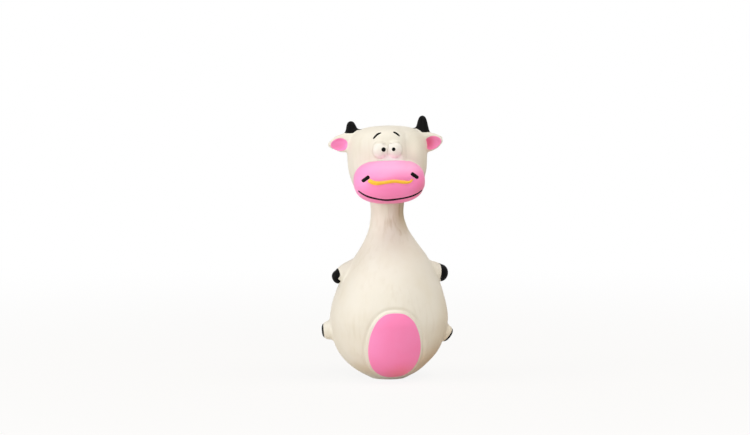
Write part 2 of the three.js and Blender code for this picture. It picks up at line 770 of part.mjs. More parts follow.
add('latex_skin', latexSkin(), 'cream');
add('muzzle_paint', muzzleCoat(), 'pink');
add('belly_paint', bellyCoat(), 'bellyPink');
add('nose_ring', cut(ringBead(0), muzzleForm(-coatThickness)), 'yellow');
add('mouth_line', layer(muzzleForm).intersect(mouthBar(mouthWidth)), 'black');
sides.forEach((side) => {
  add(`nostril_${side}`, layer(muzzleForm, nostrilDepth).intersect(nostrilBar(side, nostrilWidth)), 'black');
  add(`eye_white_${side}`, eyeWhite(side), 'white');
  add(`pupil_${side}`, pupil(side), 'black');
  add(`brow_${side}`, layer(faceForm).intersect(browBar(side, browWidth)), 'black');
  add(`ear_paint_${side}`, earCoat(side), 'pink');
  add(`horn_paint_${side}`, hornCoat(side), 'black');
  add(`fore_hoof_paint_${side}`, hoofCoat(foreLegs[side], side), 'black');
  add(`hind_hoof_paint_${side}`, hoofCoat(hindLegs[side], side), 'black');
});
add('squeaker_plug', plugBody(), 'plastic');
add('reed_seat', reedSeat(), 'plastic');
add('reed_clamp', reedClamp(), 'plastic');
add('squeaker_reed', reed(), 'reedFilm');

export default toy;
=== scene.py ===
"""Looks of a squeaky dog toy: a sitting cow with a pear body, cast as one hollow skin of latex.

Sizes are millimetres, as on a drawing, and each mesh is scaled to metres as it is made. Z is up,
the foot stands on Z = 0 and the cow looks towards -Y. Left and right are those of someone who
faces the cow, so left is -X.
"""

import logging
import math
from collections.abc import Callable, Sequence
from dataclasses import dataclass, field
from enum import Enum
from functools import partial
from typing import TypeVar

import bpy
import numpy as np
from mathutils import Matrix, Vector


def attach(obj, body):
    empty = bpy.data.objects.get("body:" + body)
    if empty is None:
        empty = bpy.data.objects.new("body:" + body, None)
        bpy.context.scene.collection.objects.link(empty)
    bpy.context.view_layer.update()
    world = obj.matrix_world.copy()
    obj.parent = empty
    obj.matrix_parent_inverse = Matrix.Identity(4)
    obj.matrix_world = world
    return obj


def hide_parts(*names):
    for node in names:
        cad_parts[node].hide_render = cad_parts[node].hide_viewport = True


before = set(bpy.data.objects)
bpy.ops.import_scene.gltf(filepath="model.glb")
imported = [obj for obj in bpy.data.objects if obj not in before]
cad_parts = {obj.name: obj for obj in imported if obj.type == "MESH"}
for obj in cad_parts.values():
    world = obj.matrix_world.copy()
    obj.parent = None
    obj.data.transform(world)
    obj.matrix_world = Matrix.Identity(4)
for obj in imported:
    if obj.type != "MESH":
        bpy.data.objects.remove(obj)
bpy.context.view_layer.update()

log = logging.getLogger("toy")

Array = np.ndarray
Field = Callable[[Array], Array]
Colour = tuple[int, int, int]
Pair = tuple[float, float]
Point = tuple[float, float, float]
Tint = tuple[float, float, float]
Item = TypeVar("Item")

METRES = 0.001
TOY_BODY = "toy"


class Side(Enum):
    """One side of the cow, as someone who faces it sees it."""

    LEFT = -1
    RIGHT = 1

    @property
    def word(self) -> str:
        """The side's name in piece and node names."""
        return self.name.lower()

    def of(self, pair: Sequence[Item]) -> Item:
        """The left or right one of a pair."""
        return pair[0] if self is Side.LEFT else pair[1]


class Projection(Enum):
    """How a coat's net is thrown on to the skin: out from a point inside, or straight in from outside.

    Its value is the sign that turns a distance to the skin into a way forward.
    """

    RADIAL = -1
    PARALLEL = 1


# Lines and distances


def smooth_line(points: Sequence, steps: int = 8) -> Array:
    """A smooth line through points.

    Args:
        points: The points, one row each.
        steps: Pieces between one point and the next.

    Returns:
        The line's points, one row each.
    """
    points = np.asarray(points, float)
    last = len(points) - 1
    places = np.linspace(0, last, last * steps + 1)
    at = np.minimum(places.astype(int), last - 1)
    share = (places - at)[:, None]
    before, start, end, after = (points[np.clip(at + k, 0, last)] for k in (-1, 0, 1, 2))
    leave = (end - before) / 2
    arrive = (after - start) / 2
    cubic = 2 * (start - end) + leave + arrive
    square = 3 * (end - start) - 2 * leave - arrive
    return cubic * share**3 + square * share**2 + leave * share + start


def sized(shares: Sequence, width: float, height: float, least: float = 0.0, foot: float = 0.0) -> Array:
    """An outline's points from their shares of its sizes.

    Args:
        shares: The points as shares, one row each.
        width: What a share of 1 is across.
        height: What a share of 1 is up.
        least: Where a share of 0 is across.
        foot: Where a share of 0 is up.

    Returns:
        The points, one row each.
    """
    return np.asarray(shares, float) * [width, height] + [least, foot]


def even_line(points: Sequence, count: int, fine_steps: int = 24) -> Array:
    """A smooth line through points, with its own points at even lengths along it.

    Args:
        points: The points, one row each.
        count: How many points the line gets.
        fine_steps: Pieces between two of the given points, where lengths are measured.

    Returns:
        The line's points, one row each.
    """
    line = smooth_line(points, fine_steps)
    lengths = np.concatenate([[0], np.cumsum(np.linalg.norm(np.diff(line, axis=0), axis=1))])
    places = np.linspace(0, lengths[-1], count)
    return np.stack([np.interp(places, lengths, column) for column in line.T], axis=1)


def line_distance(points: Array, line: Array) -> Array:
    """The distance of each point to a line of straight pieces.

    Args:
        points: Points, one row each.
        line: The line's points, one row each.

    Returns:
        One distance for each point.
    """
    best = np.full(len(points), np.inf)
    for start, span in zip(line[:-1], np.diff(line, axis=0)):
        share = np.clip((points - start) @ span / max(span @ span, 1e-12), 0, 1)
        gap = points - start - share[:, None] * span
        best = np.minimum(best, (gap**2).sum(1))
    return np.sqrt(best)


def smooth_min(a: Array, b: Array, softness: float) -> Array:
    """The lesser of two distances, with the corner between them rounded.

    Args:
        a: Distances to one form.
        b: Distances to the other.
        softness: How wide the rounding is.

    Returns:
        Distances to the two forms joined.
    """
    share = np.clip(0.5 + 0.5 * (b - a) / softness, 0, 1)
    return b + (a - b) * share - softness * share * (1 - share)


def smooth_max(a: Array, b: Array, softness: float) -> Array:
    """The greater of two distances, rounded: what two forms have in common."""
    return -smooth_min(-a, -b, softness)


def slopes(surface: Field, points: Array) -> Array:
    """The direction in which a distance grows, at each point.

    Args:
        surface: The distance.
        points: Points, one row each.

    Returns:
        One slope for each point, about one long.
    """
    reach = 0.02
    here = surface(points)
    return np.stack([surface(points + reach * axis) - here for axis in np.eye(3)], axis=1) / reach


def normals(surface: Field, points: Array) -> Array:
    """Outward directions, one long, at points on a surface."""
    slope = slopes(surface, points)
    return slope / np.maximum(np.linalg.norm(slope, axis=1, keepdims=True), 1e-9)


def settle(surface: Field, points: Array, rounds: int = 2) -> Array:
    """Moves points on to a surface.

    Args:
        surface: The distance to the surface.
        points: Points near it, one row each.
        rounds: How often each point is moved.

    Returns:
        The moved points.
    """
    least_steepness = 0.3
    for _ in range(rounds):
        slope = slopes(surface, points)
        steepness = np.maximum((slope**2).sum(1), least_steepness)
        points = points - slope * (surface(points) / steepness)[:, None]
    return points


# Forms


@dataclass
class OutlineTable:
    """Distances to a closed outline of [radius, height] points, read from a fine square net.

    The outline runs from the axis' foot to its top, and the area next to the axis is inside.
    """

    line: Array
    step: float = 0.3
    margin: float = 5.0
    low: float = field(init=False)
    values: Array = field(init=False)

    def __post_init__(self) -> None:
        """Fills the net."""
        foot, top = self.line[0, 1], self.line[-1, 1]
        closed = np.vstack([[0, foot], self.line, [0, top]])
        self.low = closed[:, 1].min() - self.margin
        across = np.arange(0, closed[:, 0].max() + self.margin, self.step)
        along = np.arange(self.low, closed[:, 1].max() + self.margin, self.step)
        net = np.stack(np.meshgrid(across, along, indexing="ij"), axis=-1).reshape(-1, 2)
        crossed = np.zeros(len(net), bool)
        for (r0, z0), (r1, z1) in zip(closed[:-1], closed[1:]):
            if z0 == z1:
                continue
            between = (net[:, 1] < z0) != (net[:, 1] < z1)
            crossed ^= between & (net[:, 0] < r0 + (net[:, 1] - z0) * (r1 - r0) / (z1 - z0))
        distance = line_distance(net, closed)
        self.values = np.where(crossed, -distance, distance).reshape(len(across), len(along))

    def distance(self, radius: Array, height: Array) -> Array:
        """Distances at radii and heights, read between the net's points.

        Args:
            radius: Distances from the axis.
            height: Heights along it.

        Returns:
            One distance for each place.
        """
        across = radius / self.step
        along = (height - self.low) / self.step
        cell = 1.001  # a little more than one, so that the next point is in the net too
        inner = np.clip(across, 0, self.values.shape[0] - cell)
        lower = np.clip(along, 0, self.values.shape[1] - cell)
        i, j = inner.astype(int), lower.astype(int)
        u, v = inner - i, lower - j
        near = self.values[i, j] * (1 - v) + self.values[i, j + 1] * v
        far = self.values[i + 1, j] * (1 - v) + self.values[i + 1, j + 1] * v
        beyond = np.hypot(across - inner, along - lower) * self.step
        return near * (1 - u) + far * u + beyond


@dataclass
class Place:
    """Where a form stands: its origin, and its own X, Y and Z axes as rows."""

    origin: Array
    axes: Array

    def local(self, points: Array) -> Array:
        """Points in the form's own frame."""
        return (points - self.origin) @ self.axes.T

    def world(self, points: Array) -> Array:
        """Points of the form's own frame in the frame around it."""
        return points @ self.axes + self.origin

    def up(self, height: float) -> Array:
        """The point at a height on the form's own Z axis, in the frame around it."""
        return self.world(np.array([0, 0, height]))

    def turned(self, directions: Array) -> Array:
        """Directions of the form's own frame in the frame around it."""
        return directions @ self.axes


def pointed(foot: Sequence, direction: Sequence) -> Place:
    """A place whose Z axis has a direction and whose Y axis leans to the back.

    Args:
        foot: The place's origin.
        direction: Where its Z axis points.

    Returns:
        The place.
    """
    along = np.asarray(direction, float) / np.linalg.norm(direction)
    back = np.array([0.0, 1.0, 0.0]) - along[1] * along
    back /= np.linalg.norm(back)
    return Place(np.asarray(foot, float), np.stack([np.cross(back, along), back, along]))


def facing_front(origin: Array, axes: Array) -> Place:
    """A place whose Z axis looks to the front of a frame, with X to its right and Y up.

    Args:
        origin: The place's origin.
        axes: The frame's own axes as rows.

    Returns:
        The place.
    """
    return Place(origin, np.stack([axes[0], axes[2], -axes[1]]))


def sideways(side: Side, forward: float, rise: float) -> Array:
    """The direction out to one side, swung forward and up.

    Args:
        side: The side.
        forward: The angle that it is swung forward by, in degrees.
        rise: The angle that it is swung up by, in degrees.

    Returns:
        The direction, one long.
    """
    turn, lift = math.radians(forward), math.radians(rise)
    level = math.cos(lift)
    return np.array([side.value * math.cos(turn) * level, -math.sin(turn) * level, math.sin(lift)])


@dataclass
class Turned:
    """A form turned about its own Z axis, with its Y axis squeezed by a share."""

    table: OutlineTable
    place: Place
    squeeze: float = 1.0

    def distance(self, points: Array) -> Array:
        """Distances of points to the form, true near its surface.

        Args:
            points: Points, one row each.

        Returns:
            One distance for each point.
        """
        x, y, z = self.place.local(points).T
        y = y / self.squeeze
        radius = np.hypot(x, y)
        gap = self.table.distance(radius, z)
        if self.squeeze == 1:
            return gap
        reach, least_steepness = self.table.step, 0.5
        out = (self.table.distance(radius + reach, z) - gap) / reach
        up = (self.table.distance(radius, z + reach) - gap) / reach
        stretch = (x**2 + (y / self.squeeze) ** 2) / np.maximum(radius, 1e-6) ** 2
        return gap / np.sqrt(np.maximum(out**2 * stretch + up**2, least_steepness))


@dataclass
class SoftBlock:
    """A ball squared off by its exponent: 2 is an ellipsoid, more is boxier."""

    centre: Sequence
    half: Sequence
    squareness: float = 2.0

    def distance(self, points: Array) -> Array:
        """Distances of points to the form, true near its surface.

        Args:
            points: Points, one row each.

        Returns:
            One distance for each point.
        """
        half = np.asarray(self.half, float)
        share = np.abs(points - np.asarray(self.centre)) / half + 1e-9
        size = (share**self.squareness).sum(1) ** (1 / self.squareness)
        slope = (share / size[:, None]) ** (self.squareness - 1) / half
        return (size - 1) / np.linalg.norm(slope, axis=1)


@dataclass
class Groove:
    """A soft furrow, or a soft fold where its depth is negative, along a line seen from the front."""

    line: Array
    width: float
    depth: float
    widths_reached: float = 3.0

    def lower(self, points: Array) -> Array:
        """How far the surface is lowered at each point.

        Args:
            points: Points, one row each.

        Returns:
            One depth for each point.
        """
        flat = points[:, [0, 2]]
        reach = self.width * self.widths_reached
        near = ((flat > self.line.min(0) - reach) & (flat < self.line.max(0) + reach)).all(1)
        near &= points[:, 1] < 0
        lowered = np.zeros(len(points))
        share = line_distance(flat[near], self.line) / self.width
        lowered[near] = self.depth * np.exp(-(share**2))
        return lowered


@dataclass
class Part:
    """One form of the casting: the ball that holds it, and how softly it joins the rest."""

    distance: Field
    centre: Array
    reach: float
    softness: float
    margin: float = 6.0

    def join(self, total: Array, points: Array) -> None:
        """Blends the part into the distances of points that are near it.

        Args:
            total: The distances so far, which are changed.
            points: The points that they are for.
        """
        near = ((points - self.centre) ** 2).sum(1) < (self.reach + self.margin) ** 2
        total[near] = smooth_min(total[near], self.distance(points[near]), self.softness)


@dataclass
class LegShape:
    """Sizes of one stub leg, and its place on the body."""

    side: Side
    root_radius: float
    tip_radius: float
    end_round: float
    length: float
    proud: float
    height: float
    forward: float
    rise: float
    softness: float
    hoof_depth: float
    hoof_tilt: float = 0.0
    notched: bool = False
    notch_softness: float = 0.3
    stem_shares: Sequence = ((1, 0), (0.9, 0.25), (0.6, 0.5), (0.28, 0.75), (0.06, 0.94))
    end_steps: int = 8

    def place(self, body_side: float) -> Place:
        """Where the leg stands.

        Args:
            body_side: The body's radius at the height of the leg's tip.

        Returns:
            The place, with the Z axis out along the leg.
        """
        direction = sideways(self.side, self.forward, self.rise)
        tip = np.array([self.side.value * (body_side + self.proud), 0, self.height])
        root = tip - direction * self.length
        root[1] = 0
        return pointed(root, direction)

    def table(self) -> OutlineTable:
        """The leg's outline, from its root to its rounded end.

        Returns:
            The table of the outline.
        """
        swell = self.root_radius - self.tip_radius
        stem = sized(self.stem_shares, swell, self.length - self.end_round, least=self.tip_radius)
        turns = np.linspace(0, math.pi / 2, self.end_steps + 1)
        end = np.stack([
            self.tip_radius - self.end_round * (1 - np.cos(turns)),
            self.length - self.end_round * (1 - np.sin(turns)),
        ], axis=1)
        return OutlineTable(np.vstack([smooth_line(stem, steps=6), end]), step=0.25)

    def hoof_edge(self, points: Array, notch_width: float, notch_depth: float) -> Array:
        """Where the hoof's black ends, above 0 beyond it.

        Args:
            points: Points in the leg's own frame.
            notch_width: The width of the bare notch in front of a notched hoof.
            notch_depth: How far it reaches towards the tip.

        Returns:
            One distance for each point.
        """
        tilt = -self.side.value * math.radians(self.hoof_tilt)
        x, y, z = points[:, 0], points[:, 1], points[:, 2] - self.length
        along = z * math.cos(tilt) + x * math.sin(tilt) + self.hoof_depth
        if not self.notched:
            return -along
        across = x * math.cos(tilt) - z * math.sin(tilt)
        notch = (notch_depth - along) * notch_width / 2 / notch_depth - np.abs(across)
        return np.where(y < 0, smooth_max(-along, notch, self.notch_softness), -along)


# A leg's outline that stays thick from its root, as shares of its swell and of its length
SHOULDER_SHARES = ((1, 0), (1, 0.3), (0.92, 0.5), (0.62, 0.75), (0.2, 0.93))


@dataclass
class BodyForm:
    """The pear body with its neck, its four legs and the raised pad of the belly patch."""

    radius: float = 30.3
    neck_radius: float = 8.4
    neck_top: float = 97.0
    foot_radius: float = 9.2
    foot_round: float = 0.9
    foot_rise: float = 0.22
    outline_shares: Sequence = (
        (0.347, 0.041), (0.571, 0.084), (0.735, 0.126), (0.845, 0.168), (0.936, 0.227),
        (0.991, 0.289), (1, 0.32), (0.982, 0.358), (0.945, 0.4), (0.89, 0.442),
        (0.826, 0.485), (0.68, 0.557), (0.493, 0.632), (0.301, 0.696), (0.187, 0.738),
        (0.091, 0.779), (0.032, 0.822), (0, 0.864), (0.005, 0.907), (0.037, 0.959), (0.1, 1),
    )
    bend: Sequence = (
        (0, 0), (3, -0.1), (8, -0.45), (15, -0.2), (30, 0.3), (40, 0.45), (47, 0.75), (55, 1.15),
        (62, 1.4), (66, 1.3), (71.5, 0.7), (77, 0), (83, -0.55), (92, -0.6), (110, -0.6),
    )
    patch_half_width: float = 13.3
    patch_shift: float = 0.7
    patch_top: float = 36.2
    patch_bottom: float = 1.9
    patch_raise: float = 0.7
    patch_rim: float = 1.0
    patch_softness: float = 0.4
    seam_depth: float = 0.5
    seam_width: float = 0.7
    seam_fade: float = 5.0
    seam_softness: float = 0.35
    patch_shares: Sequence = (
        (0.3, 0.012), (0.56, 0.06), (0.78, 0.145), (0.94, 0.28), (1, 0.46),
        (0.92, 0.68), (0.7, 0.87), (0.4, 0.972), (0.14, 0.998),
    )
    fore_legs: tuple[LegShape, ...] = (
        LegShape(
            Side.LEFT, root_radius=5.1, tip_radius=3.4, end_round=3.0, length=13.6, proud=3.7, height=50.9,
            forward=10, rise=-24, softness=1.2, hoof_depth=3.3, hoof_tilt=15, notched=True,
            stem_shares=SHOULDER_SHARES,
        ),
        LegShape(
            Side.RIGHT, root_radius=6.0, tip_radius=4.4, end_round=3.9, length=14.4, proud=6.9, height=53.0,
            forward=-15, rise=-6, softness=1.1, hoof_depth=5.1, stem_shares=SHOULDER_SHARES,
        ),
    )
    hind_legs: tuple[LegShape, ...] = (
        LegShape(
            Side.LEFT, root_radius=6.1, tip_radius=4.8, end_round=3.6, length=11.9, proud=4.5, height=24.2,
            forward=-6, rise=-5, softness=1.6, hoof_depth=0.95,
        ),
        LegShape(
            Side.RIGHT, root_radius=5.7, tip_radius=4.4, end_round=2.6, length=11.9, proud=3.2, height=20.8,
            forward=-4, rise=-36, softness=1.4, hoof_depth=1.2,
        ),
    )

    def __post_init__(self) -> None:
        """Works out the tables and the legs' places."""
        swell = self.radius - self.neck_radius
        pear = sized(self.outline_shares, swell, self.neck_top, least=self.neck_radius)
        foot = [[self.foot_radius - self.foot_round, 0], [self.foot_radius, self.foot_rise]]
        self.line = smooth_line(np.vstack([foot, pear]))
        self.pear = OutlineTable(self.line)
        self.bend_line = smooth_line(self.bend, steps=6)
        height = self.patch_top - self.patch_bottom
        egg = sized(self.patch_shares, self.patch_half_width, height, foot=self.patch_bottom)
        egg = np.vstack([[0, self.patch_bottom], egg, [0, self.patch_top]])
        self.egg = OutlineTable(smooth_line(egg, steps=10))
        self.legs, self.parts = [], []
        for shape in self.fore_legs + self.hind_legs:
            body_side = np.interp(shape.height, self.line[:, 1], self.line[:, 0])
            leg = Turned(shape.table(), shape.place(body_side))
            middle = leg.place.up(shape.length / 2)
            self.legs.append(leg)
            self.parts.append(Part(leg.distance, middle, shape.length, shape.softness))

    def shift(self, heights: Array) -> Array:
        """How far the casting leans to the side at each height."""
        return np.interp(heights, *self.bend_line.T)

    def plain(self, points: Array) -> Array:
        """Distances to the pear alone."""
        across = points[:, 0] - self.shift(points[:, 2])
        return self.pear.distance(np.hypot(across, points[:, 1]), points[:, 2])

    def patch(self, points: Array) -> Array:
        """Distances to the belly patch's outline, seen from the front.

        Args:
            points: Points, one row each.

        Returns:
            One distance for each point.
        """
        outline = self.egg.distance(np.abs(points[:, 0] - self.patch_shift), points[:, 2])
        far = 100.0
        return np.where(points[:, 1] < 0, outline, outline + far)

    def distance(self, points: Array) -> Array:
        """Distances to the body with its pad and legs.

        Args:
            points: Points, one row each.

        Returns:
            One distance for each point.
        """
        pear = self.plain(points)
        outline = self.patch(points) - self.patch_rim
        pad = smooth_max(pear - self.patch_raise, outline, self.patch_softness)
        seam = self.seam_depth * np.exp(-(((outline - self.seam_width) / self.seam_width) ** 2))
        seam *= np.clip((points[:, 2] - self.seam_fade) / self.seam_fade, 0, 1)
        total = smooth_min(pear + seam, pad, self.seam_softness)
        for part in self.parts:
            part.join(total, points)
        return total


@dataclass
class HeadForm:
    """The skull with its ridge, muzzle, eyes, ears and horns, upright on the neck."""

    half_width: float = 20.4
    bottom: float = 93.0
    height: float = 36.3
    depth_share: float = 0.85
    turn: float = -2.7
    lean: float = -1.6
    outline_shares: Sequence = (
        (0, 0), (0.6, 0.03), (0.745, 0.069), (0.862, 0.166), (0.945, 0.304), (0.984, 0.414),
        (1, 0.62), (0.978, 0.78), (0.875, 0.885), (0.67, 0.95), (0.383, 0.987), (0, 1),
    )
    ridge_half: Sequence = (9.0, 8.0, 13.2)
    ridge_height: float = 114.3
    ridge_proud: float = 2.0
    ridge_squareness: float = 2.9
    ridge_reach: float = 18.0
    ridge_softness: float = 3.0
    ridge_crease: Sequence = ((8.6, 105.5), (9.0, 115.0), (8.7, 124.5))
    muzzle_half: Sequence = (17.8, 14.8, 11.1)
    muzzle_height: float = 101.4
    muzzle_proud: float = 11.0
    muzzle_squareness: float = 2.5
    muzzle_reach: float = 28.0
    muzzle_softness: float = 1.1
    eye_half: Sequence = (4.0, 3.6, 4.4)
    eye_spacing: float = 7.1
    eye_shift: float = -0.7
    eye_height: float = 117.3
    eye_proud: float = 2.3
    eye_reach: float = 6.0
    eye_softness: float = 0.5
    lid_lift: float = 0.45
    lid_share: float = 0.79
    lid_slope: float = 0.12
    lid_softness: float = 0.3
    ear_proud: Pair = (9.9, 8.7)
    ear_sunk: float = 4.3
    ear_half_height: float = 4.8
    ear_half_thickness: float = 2.3
    ear_height: Pair = (120.3, 121.6)
    ear_rise: Pair = (-5, 10)
    ear_forward: float = 8.0
    ear_depth_share: float = 0.17
    ear_softness: float = 1.5
    ear_outline_shares: Sequence = (
        (0.9, 0), (0.99, 0.2), (1, 0.38), (0.9, 0.57), (0.68, 0.74), (0.38, 0.89), (0.18, 0.97), (0, 1),
    )
    cup_height_share: float = 0.77
    cup_length_share: Pair = (0.35, 0.43)
    cup_centre_share: Pair = (0.635, 0.55)
    cup_drop: float = 0.9
    cup_softness: float = 0.7
    horn_radius: float = 3.7
    horn_length: Pair = (8.3, 10.1)
    horn_spacing: float = 35.6
    horn_shift: float = 0.4
    horn_height: float = 123.6
    horn_lean: Pair = (6, 2)
    horn_reach: float = 10.0
    horn_softness: float = 2.2
    horn_outline_shares: Sequence = (
        (1, 0), (0.97, 0.14), (0.88, 0.33), (0.75, 0.52), (0.63, 0.7), (0.48, 0.865),
        (0.28, 0.965), (0, 1),
    )
    nostril_shares: Sequence = ((-0.685, 0.18), (0.685, 0.26))
    nostril_slope: float = 36.0
    nostril_length: float = 4.9
    nostril_furrow_share: float = 0.6
    mouth_shares: Sequence = (
        (-0.9, -0.34), (-0.77, -0.5), (-0.6, -0.63), (-0.37, -0.73), (-0.13, -0.79),
        (0.13, -0.77), (0.37, -0.72), (0.59, -0.65), (0.77, -0.54), (0.91, -0.4),
    )
    ring_shares: Sequence = (
        (-0.61, 0.14), (-0.52, 0.05), (-0.39, -0.01), (-0.15, 0.02),
        (0.1, 0.06), (0.38, 0), (0.53, 0), (0.63, 0.12),
    )
    fold_rise: float = 2.1
    fold_drop: float = 1.2

    def __post_init__(self) -> None:
        """Works out the place of each feature."""
        turn, lean = math.radians(self.turn), math.radians(self.lean)
        about_z = np.array([
            [math.cos(turn), -math.sin(turn), 0],
            [math.sin(turn), math.cos(turn), 0],
            [0, 0, 1],
        ])
        about_y = np.array([
            [math.cos(lean), 0, math.sin(lean)],
            [0, 1, 0],
            [-math.sin(lean), 0, math.cos(lean)],
        ])
        axes = (about_z @ about_y).T
        pivot = np.array([0, 0, self.bottom])
        self.place = Place(pivot - pivot @ axes, axes)
        self.front = -self.half_width * self.depth_share
        outline = sized(self.outline_shares, self.half_width, self.height, foot=self.bottom)
        level = Place(np.zeros(3), np.eye(3))
        self.skull = Turned(OutlineTable(smooth_line(outline)), level, self.depth_share)
        ridge_centre = (0, self.front - self.ridge_proud + self.ridge_half[1], self.ridge_height)
        self.ridge = SoftBlock(ridge_centre, self.ridge_half, self.ridge_squareness)
        self.muzzle_centre = np.array([
            0, self.front - self.muzzle_proud + self.muzzle_half[1], self.muzzle_height,
        ])
        self.muzzle = SoftBlock(self.muzzle_centre, self.muzzle_half, self.muzzle_squareness)
        self.eye_depth = self.front - self.ridge_proud - self.eye_proud + self.eye_half[1]
        self.eyes = {side: SoftBlock(self.eye_centre(side), self.eye_half) for side in Side}
        self.ears = {side: self.ear(side) for side in Side}
        self.cups = {side: self.cup(side) for side in Side}
        self.horns = {side: self.horn(side) for side in Side}
        self.parts = self.joined_parts()
        self.grooves = self.furrows()

    def eye_centre(self, side: Side) -> Array:
        """The centre of one eye's ball."""
        across = self.eye_shift + side.value * self.eye_spacing / 2
        return np.array([across, self.eye_depth, self.eye_height])

    def ear_place(self, side: Side) -> Place:
        """Where one ear's root is, with the Z axis out to its tip.

        Args:
            side: The side.

        Returns:
            The place.
        """
        direction = sideways(side, self.ear_forward, side.of(self.ear_rise))
        reach = self.half_width + side.of(self.ear_proud)
        tip = np.array([side.value * reach, self.front * self.ear_depth_share, side.of(self.ear_height)])
        return pointed(tip - direction * self.ear_length(side), direction)

    def ear_length(self, side: Side) -> float:
        """The length of one ear, with the part of it that is sunk in the skull."""
        return side.of(self.ear_proud) + self.ear_sunk

    def ear(self, side: Side) -> Turned:
        """One ear, a flattened leaf.

        Args:
            side: The side.

        Returns:
            The form, in the head's frame.
        """
        outline = sized(self.ear_outline_shares, self.ear_half_height, self.ear_length(side))
        squeeze = self.ear_half_thickness / self.ear_half_height
        return Turned(OutlineTable(smooth_line(outline), step=0.2), self.ear_place(side), squeeze)

    def cup(self, side: Side) -> SoftBlock:
        """The scoop in one ear's front, in the ear's own frame.

        Args:
            side: The side.

        Returns:
            The form.
        """
        length, thickness = self.ear_length(side), self.ear_half_thickness
        centre = (side.value * self.cup_drop, -thickness, length * side.of(self.cup_centre_share))
        half_height = self.ear_half_height * self.cup_height_share
        return SoftBlock(centre, (half_height, thickness, length * side.of(self.cup_length_share)))

    def horn(self, side: Side) -> Turned:
        """One horn, a cone with a round tip.

        Args:
            side: The side.

        Returns:
            The form, in the head's frame.
        """
        outline = sized(self.horn_outline_shares, self.horn_radius, side.of(self.horn_length))
        lean = math.radians(side.of(self.horn_lean)) * side.value
        foot = (side.value * self.horn_spacing / 2 + self.horn_shift, 0, self.horn_height)
        place = pointed(foot, (math.sin(lean), 0, math.cos(lean)))
        return Turned(OutlineTable(smooth_line(outline), step=0.2), place)

    def scooped_ear(self, side: Side, points: Array) -> Array:
        """Distances to one ear with its scoop.

        Args:
            side: The side.
            points: Points in the head's frame.

        Returns:
            One distance for each point.
        """
        ear = self.ears[side]
        cup = self.cups[side].distance(ear.place.local(points))
        return smooth_max(ear.distance(points), -cup, self.cup_softness)

    def lidded_eye(self, side: Side, points: Array) -> Array:
        """Distances to one eye's ball with the lid that hoods its top.

        Args:
            side: The side.
            points: Points in the head's frame.

        Returns:
            One distance for each point.
        """
        eye = self.eyes[side]
        ball = eye.distance(points)
        edge = self.eye_height + self.eye_half[2] * self.lid_share
        above = edge - points[:, 2] + self.lid_slope * (points[:, 0] - eye.centre[0]) * side.value
        lid = smooth_max(ball - self.lid_lift, above, self.lid_softness)
        return smooth_min(ball, lid, self.lid_softness)

    def joined_parts(self) -> list[Part]:
        """Every feature that is blended on to the skull, in order.

        Returns:
            The features.
        """
        parts = [
            Part(self.ridge.distance, np.asarray(self.ridge.centre), self.ridge_reach, self.ridge_softness),
            Part(self.muzzle.distance, self.muzzle_centre, self.muzzle_reach, self.muzzle_softness),
        ]
        for side in Side:
            eye, ear, horn = self.eyes[side], self.ears[side].place, self.horns[side]
            length = self.ear_length(side)
            parts.extend([
                Part(partial(self.lidded_eye, side), eye.centre, self.eye_reach, self.eye_softness),
                Part(partial(self.scooped_ear, side), ear.up(length / 2), length, self.ear_softness),
                Part(horn.distance, horn.place.up(self.horn_radius), self.horn_reach, self.horn_softness),
            ])
        return parts

    def on_muzzle(self, shares: Sequence) -> Array:
        """Points seen from the front, from shares of the muzzle's half width and half height."""
        return sized(shares, self.muzzle_half[0], self.muzzle_half[2], foot=self.muzzle_height)

    def nostril_line(self, side: Side, length: float) -> Array:
        """The middle line of one nostril, seen from the front, as long as it is asked for.

        Args:
            side: The side.
            length: How long the line is.

        Returns:
            Its three points.
        """
        slope = math.radians(self.nostril_slope) * -side.value
        reach = np.array([math.cos(slope), math.sin(slope)]) * length / 2
        centre = self.on_muzzle(side.of(self.nostril_shares))
        return np.stack([centre - reach, centre, centre + reach])

    def furrows(self) -> list[Groove]:
        """The soft furrows and folds of the muzzle.

        Returns:
            The furrows, and the folds as furrows of a depth below 0.
        """
        mouth = smooth_line(self.on_muzzle(self.mouth_shares), steps=4)
        ring = smooth_line(self.on_muzzle(self.ring_shares), steps=4)
        nostril_length = self.nostril_length * self.nostril_furrow_share
        return [
            Groove(mouth, width=1.4, depth=0.3),
            Groove(smooth_line(self.ridge_crease), width=0.8, depth=0.25),
            Groove(ring + [0, self.fold_rise], width=1.7, depth=-0.5),
            Groove(ring - [0, self.fold_drop], width=1.0, depth=0.25),
            *(Groove(self.nostril_line(side, nostril_length), width=1.6, depth=0.4) for side in Side),
        ]

    def face(self, points: Array) -> Array:
        """Distances to skull and ridge alone, for points in the head's frame."""
        return smooth_min(self.skull.distance(points), self.ridge.distance(points), self.ridge_softness)

    def distance(self, points: Array) -> Array:
        """Distances to the whole head, for points in the head's frame.

        Args:
            points: Points, one row each.

        Returns:
            One distance for each point.
        """
        total = self.skull.distance(points)
        for part in self.parts:
            part.join(total, points)
        for groove in self.grooves:
            total += groove.lower(points)
        return total


@dataclass
class ToyForm:
    """The outside of the whole casting."""

    body: BodyForm = field(default_factory=BodyForm)
    head: HeadForm = field(default_factory=HeadForm)
    neck_softness: float = 2.0
    neck_reach: float = 12.0

    def distance(self, points: Array) -> Array:
        """Distances of points to the casting's outside.

        Args:
            points: Points, one row each.

        Returns:
            One distance for each point.
        """
        total = self.body.distance(points)
        near = points[:, 2] > self.head.bottom - self.neck_reach
        head = self.head.distance(self.head.place.local(points[near]))
        total[near] = smooth_min(total[near], head, self.neck_softness)
        return total


# Meshes


